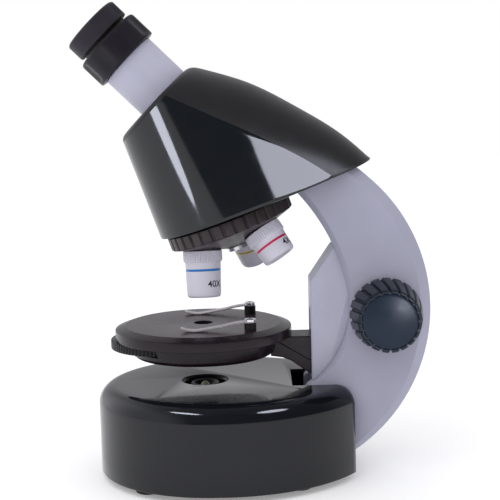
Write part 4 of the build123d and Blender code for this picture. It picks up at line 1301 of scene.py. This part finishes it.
newPiece("eyeLens", lensMesh(9.5, 66.3, 68.8, 0.6), tubePlace(), "lensGlass", "eyepiece",
         ["eye_lens"])
for name, o in objectives.items():
    bore = o["bore"] - 0.02
    newPiece("frontLens" + name, lensMesh(bore, o["tip"] - 4.4, o["tip"] - 2.2, bore * 0.18),
             objectivePlace(o["turn"]),
             "lensGlass", "nosepiece", ["front_lens_" + name])
print("eyepiece done")


def lampCupMesh():
    top = tableToDrum
    line = softCorners([
        (0, top - 8, 0), (10.5, top - 8, 0.4), (12.0, top - 6, 0.4), (12.0, top - 0.5, 0.3),
        (11.2, top - 0.4, 0.3),
        (10.6, top - 1.4, 0.4), (10.4, top - 4.4, 0.5), (7.4, top - 4.4, 0.4), (7.2, top - 1.2, 0.5),
        (5.9, top - 1.2, 0.5),
        (4.4, top - 5.0, 0.6), (2.75, top - 5.2, 0.3), (2.75, top - 6.4, 0), (0, top - 6.4, 0),
    ], 4, closed=False)
    return latheMesh(line, 120, closed=False)


newPiece("lampCup", lampCupMesh(), onAxis, "ribBlack", "stand", ["lamp_cup"], sharp=38)


def footMesh():
    line = softCorners([(0, 0, 0), (6.5, 0, 1.1), (6.5, 3, 0.1), (0, 3, 0)], 5, closed=False)
    return latheMesh(line, 64, closed=False)


feet = [moved(footMesh(), Matrix.Translation((x, y, 0))) for x in (-37, 37) for y in (-28, 46)]
newPiece("rubberFeet", mergeMeshes(feet), onAxis, "footRubber", "stand", ["rubber_feet"])
print("lamp and feet done")

carried = {
    "innerBlack": ["base_plate", "battery_door", "battery_tray", "switch_body", "diaphragm_pivot",
                   "hood_base",
                   "mirror_holder"],
    "ribBlack": ["power_switch"],
    "screwZinc": ["base_screws", "battery_door_screw", "battery_contacts", "arm_screws", "stage_screws"],
    "turnedSteel": ["focus_shaft", "nosepiece_pivot"],
    "springSteel": ["click_spring"],
    "brassGear": ["pinion", "shaft_bushes"],
    "washerWhite": ["friction_washers"],
    "cellJacket": ["battery_cells"],
    "ledClear": ["lamp_led"],
    "boardGreen": ["lamp_board"],
    "mirrorSilver": ["fold_mirror"],
    "lensGlass": ["field_lens"],
}
for name, members in carried.items():
    for node in members:
        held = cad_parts[node]
        if not held.material_slots:
            held.data.materials.append(finishes[name])
        for slot in held.material_slots:
            slot.material = finishes[name]
print("carried nodes finished:", sum(len(m) for m in carried.values()))

room = {"back": 2.2, "front": 1.1, "colour": (0.84, 0.84, 0.86), "lift": 0.24}
floorMesh = bpy.data.meshes.new("floor")
floorMesh.from_pydata([(-room["back"], -2, 0), (room["front"], -2, 0), (room["front"], 2, 0),
                       (-room["back"], 2, 0)], [],
                      [(0, 1, 2, 3)])
floorPiece = bpy.data.objects.new("floor", floorMesh)
bpy.context.scene.collection.objects.link(floorPiece)
floorPiece.location.z = -0.0002
floorMaterial = finish("paleFloor", {"colour": room["colour"], "second": (0.86, 0.86, 0.88), "rough": 0.6,
                                     "toneSize": 300, "grain": 0.02, "grainSize": 2})
floorShader = floorMaterial.node_tree.nodes["Principled BSDF"]
floorShader.inputs["Emission Color"].default_value = (1, 1, 1, 1)
floorShader.inputs["Emission Strength"].default_value = room["lift"]
floorMesh.materials.append(floorMaterial)

# white room for the eye and for soft light; gloss sees a darker room with bright sides
gloss = {"dark": 0.12, "side": 0.85, "behind": 0.5, "above": 0.1}
world = bpy.data.worlds.new("studio")
bpy.context.scene.world = world
world.use_nodes = True
wn, wl = world.node_tree.nodes, world.node_tree.links
white = wn["Background"]
white.inputs["Color"].default_value = (1.0, 1.0, 1.0, 1)
white.inputs["Strength"].default_value = 1.0
dim = wn.new("ShaderNodeBackground")
dim.inputs["Color"].default_value = (0.96, 0.96, 1.0, 1)
direction = wn.new("ShaderNodeTexCoord")
parts = wn.new("ShaderNodeSeparateXYZ")
wl.new(direction.outputs["Generated"], parts.inputs[0])


def ramp(output, start, end, amount):
    step = wn.new("ShaderNodeMapRange")
    step.interpolation_type = "SMOOTHSTEP"
    step.inputs["From Min"].default_value = start
    step.inputs["From Max"].default_value = end
    step.inputs["To Min"].default_value = 0
    step.inputs["To Max"].default_value = amount
    wl.new(parts.outputs[output], step.inputs["Value"])
    return step.outputs["Result"]


total = None
for output, start, end, amount in (("Y", -0.35, -0.8, gloss["side"]), ("X", 0.2, -0.8, gloss["behind"]),
                                   ("Z", 0.75, 1.0, gloss["above"])):
    added = wn.new("ShaderNodeMath")
    if total is None:
        added.inputs[0].default_value = gloss["dark"]
    else:
        wl.new(total, added.inputs[0])
    wl.new(ramp(output, start, end, amount), added.inputs[1])
    total = added.outputs[0]
wl.new(total, dim.inputs["Strength"])
rays = wn.new("ShaderNodeLightPath")
either = wn.new("ShaderNodeMixShader")
wl.new(rays.outputs["Is Glossy Ray"], either.inputs[0])
wl.new(white.outputs[0], either.inputs[1])
wl.new(dim.outputs[0], either.inputs[2])
wl.new(either.outputs[0], wn["World Output"].inputs["Surface"])
bpy.context.scene.view_settings.view_transform = "Standard"

# soft boxes, each placed by the direction and the angles it fills, seen from one point of the microscope;
# "glow" is how bright it looks, and the gloss boxes light nothing but reflections
lights = {
    "frontKey": {"seenFrom": (0, 0, 120), "azimuth": -38, "elevation": 42, "distance": 0.8, "wide": 22,
                 "tall": 22,
                 "glow": 1.1},
    "flankBox": {"seenFrom": (33, 20, 158), "azimuth": 41, "elevation": 8, "distance": 0.45, "wide": 35,
                 "tall": 16,
                 "spin": 10, "glow": 8.6, "shape": "ELLIPSE", "on": [hoodShell]},
    "frontStripe": {"seenFrom": (33, -34, 160), "azimuth": -46, "elevation": -11, "distance": 0.4, "wide": 13,
                    "tall": 6.5, "spin": -36, "glow": 11.5, "shape": "ELLIPSE", "on": [hoodShell]},
    "knobShine": {"seenFrom": (44, 66, 84), "azimuth": 23, "elevation": 7, "distance": 0.5, "wide": 8,
                  "tall": 8,
                  "glow": 26.0, "shape": "ELLIPSE", "on": [cap, grip]},
    "drumFront": {"seenFrom": (57, -22, 44), "azimuth": -50, "elevation": 61, "distance": 1.0, "wide": 13,
                  "tall": 3.5,
                  "glow": 18.0, "shape": "ELLIPSE", "on": [drumPiece]},
    "drumRear": {"seenFrom": (55, 10, 43), "azimuth": 46, "elevation": 50, "distance": 1.0, "wide": 11,
                 "tall": 7,
                 "glow": 13.0, "shape": "ELLIPSE", "on": [drumPiece]},
}
for name, l in lights.items():
    azimuth, elevation = math.radians(l["azimuth"]), math.radians(l["elevation"])
    away = Vector((math.cos(elevation) * math.cos(azimuth), math.cos(elevation) * math.sin(azimuth),
                   math.sin(elevation)))
    level = Vector((-math.sin(azimuth), math.cos(azimuth), 0))
    spin = math.radians(l.get("spin", 0))
    level = level * math.cos(spin) + away.cross(level) * math.sin(spin)
    data = bpy.data.lights.new(name, "AREA")
    data.shape = l.get("shape", "RECTANGLE")
    data.size = 2 * l["distance"] * math.tan(math.radians(l["wide"]))
    data.size_y = 2 * l["distance"] * math.tan(math.radians(l["tall"]))
    data.energy = l["glow"] * math.pi * data.size * data.size_y
    data.color = (0.9, 0.935, 1.08) if "on" in l else (1, 1, 1)
    lamp = bpy.data.objects.new(name, data)
    turned = axesAt((0, 0, 0), level, away.cross(level), away)
    turned.translation = Vector(l["seenFrom"]) * mm + away * l["distance"]
    lamp.matrix_world = turned
    lamp.visible_camera = False
    lamp.visible_diffuse = "on" not in l
    lamp.visible_glossy = "on" in l
    if "on" in l:
        lit = bpy.data.collections.new(name + "Lit")
        for piece in l["on"]:
            lit.objects.link(piece)
        lamp.light_linking.receiver_collection = lit
    bpy.context.scene.collection.objects.link(lamp)

view = {"at": (681.3, 24.84, 205.5), "down": 7.68, "roll": -1.52, "lens": 97.3}
camera = bpy.data.cameras.new("viewer")
camera.lens = view["lens"]
camera.sensor_width = 36
camera.clip_start = 0.01
viewer = bpy.data.objects.new("viewer", camera)
bpy.context.scene.collection.objects.link(viewer)
down = math.radians(view["down"])
forward = Vector((-math.cos(down), 0, -math.sin(down)))
right = Vector((0, 1, 0))
up = right.cross(forward)
roll = math.radians(view["roll"])
rightTurned = right * math.cos(roll) + up * math.sin(roll)
upTurned = up * math.cos(roll) - right * math.sin(roll)
turn = Matrix.Identity(4)
for row in range(3):
    turn[row][0], turn[row][1], turn[row][2] = rightTurned[row], upTurned[row], -forward[row]
x, y, z = view["at"]
viewer.matrix_world = Matrix.Translation(Vector((x, y + axisY, z)) * mm) @ turn
bpy.context.scene.camera = viewer
print("camera and lights set")
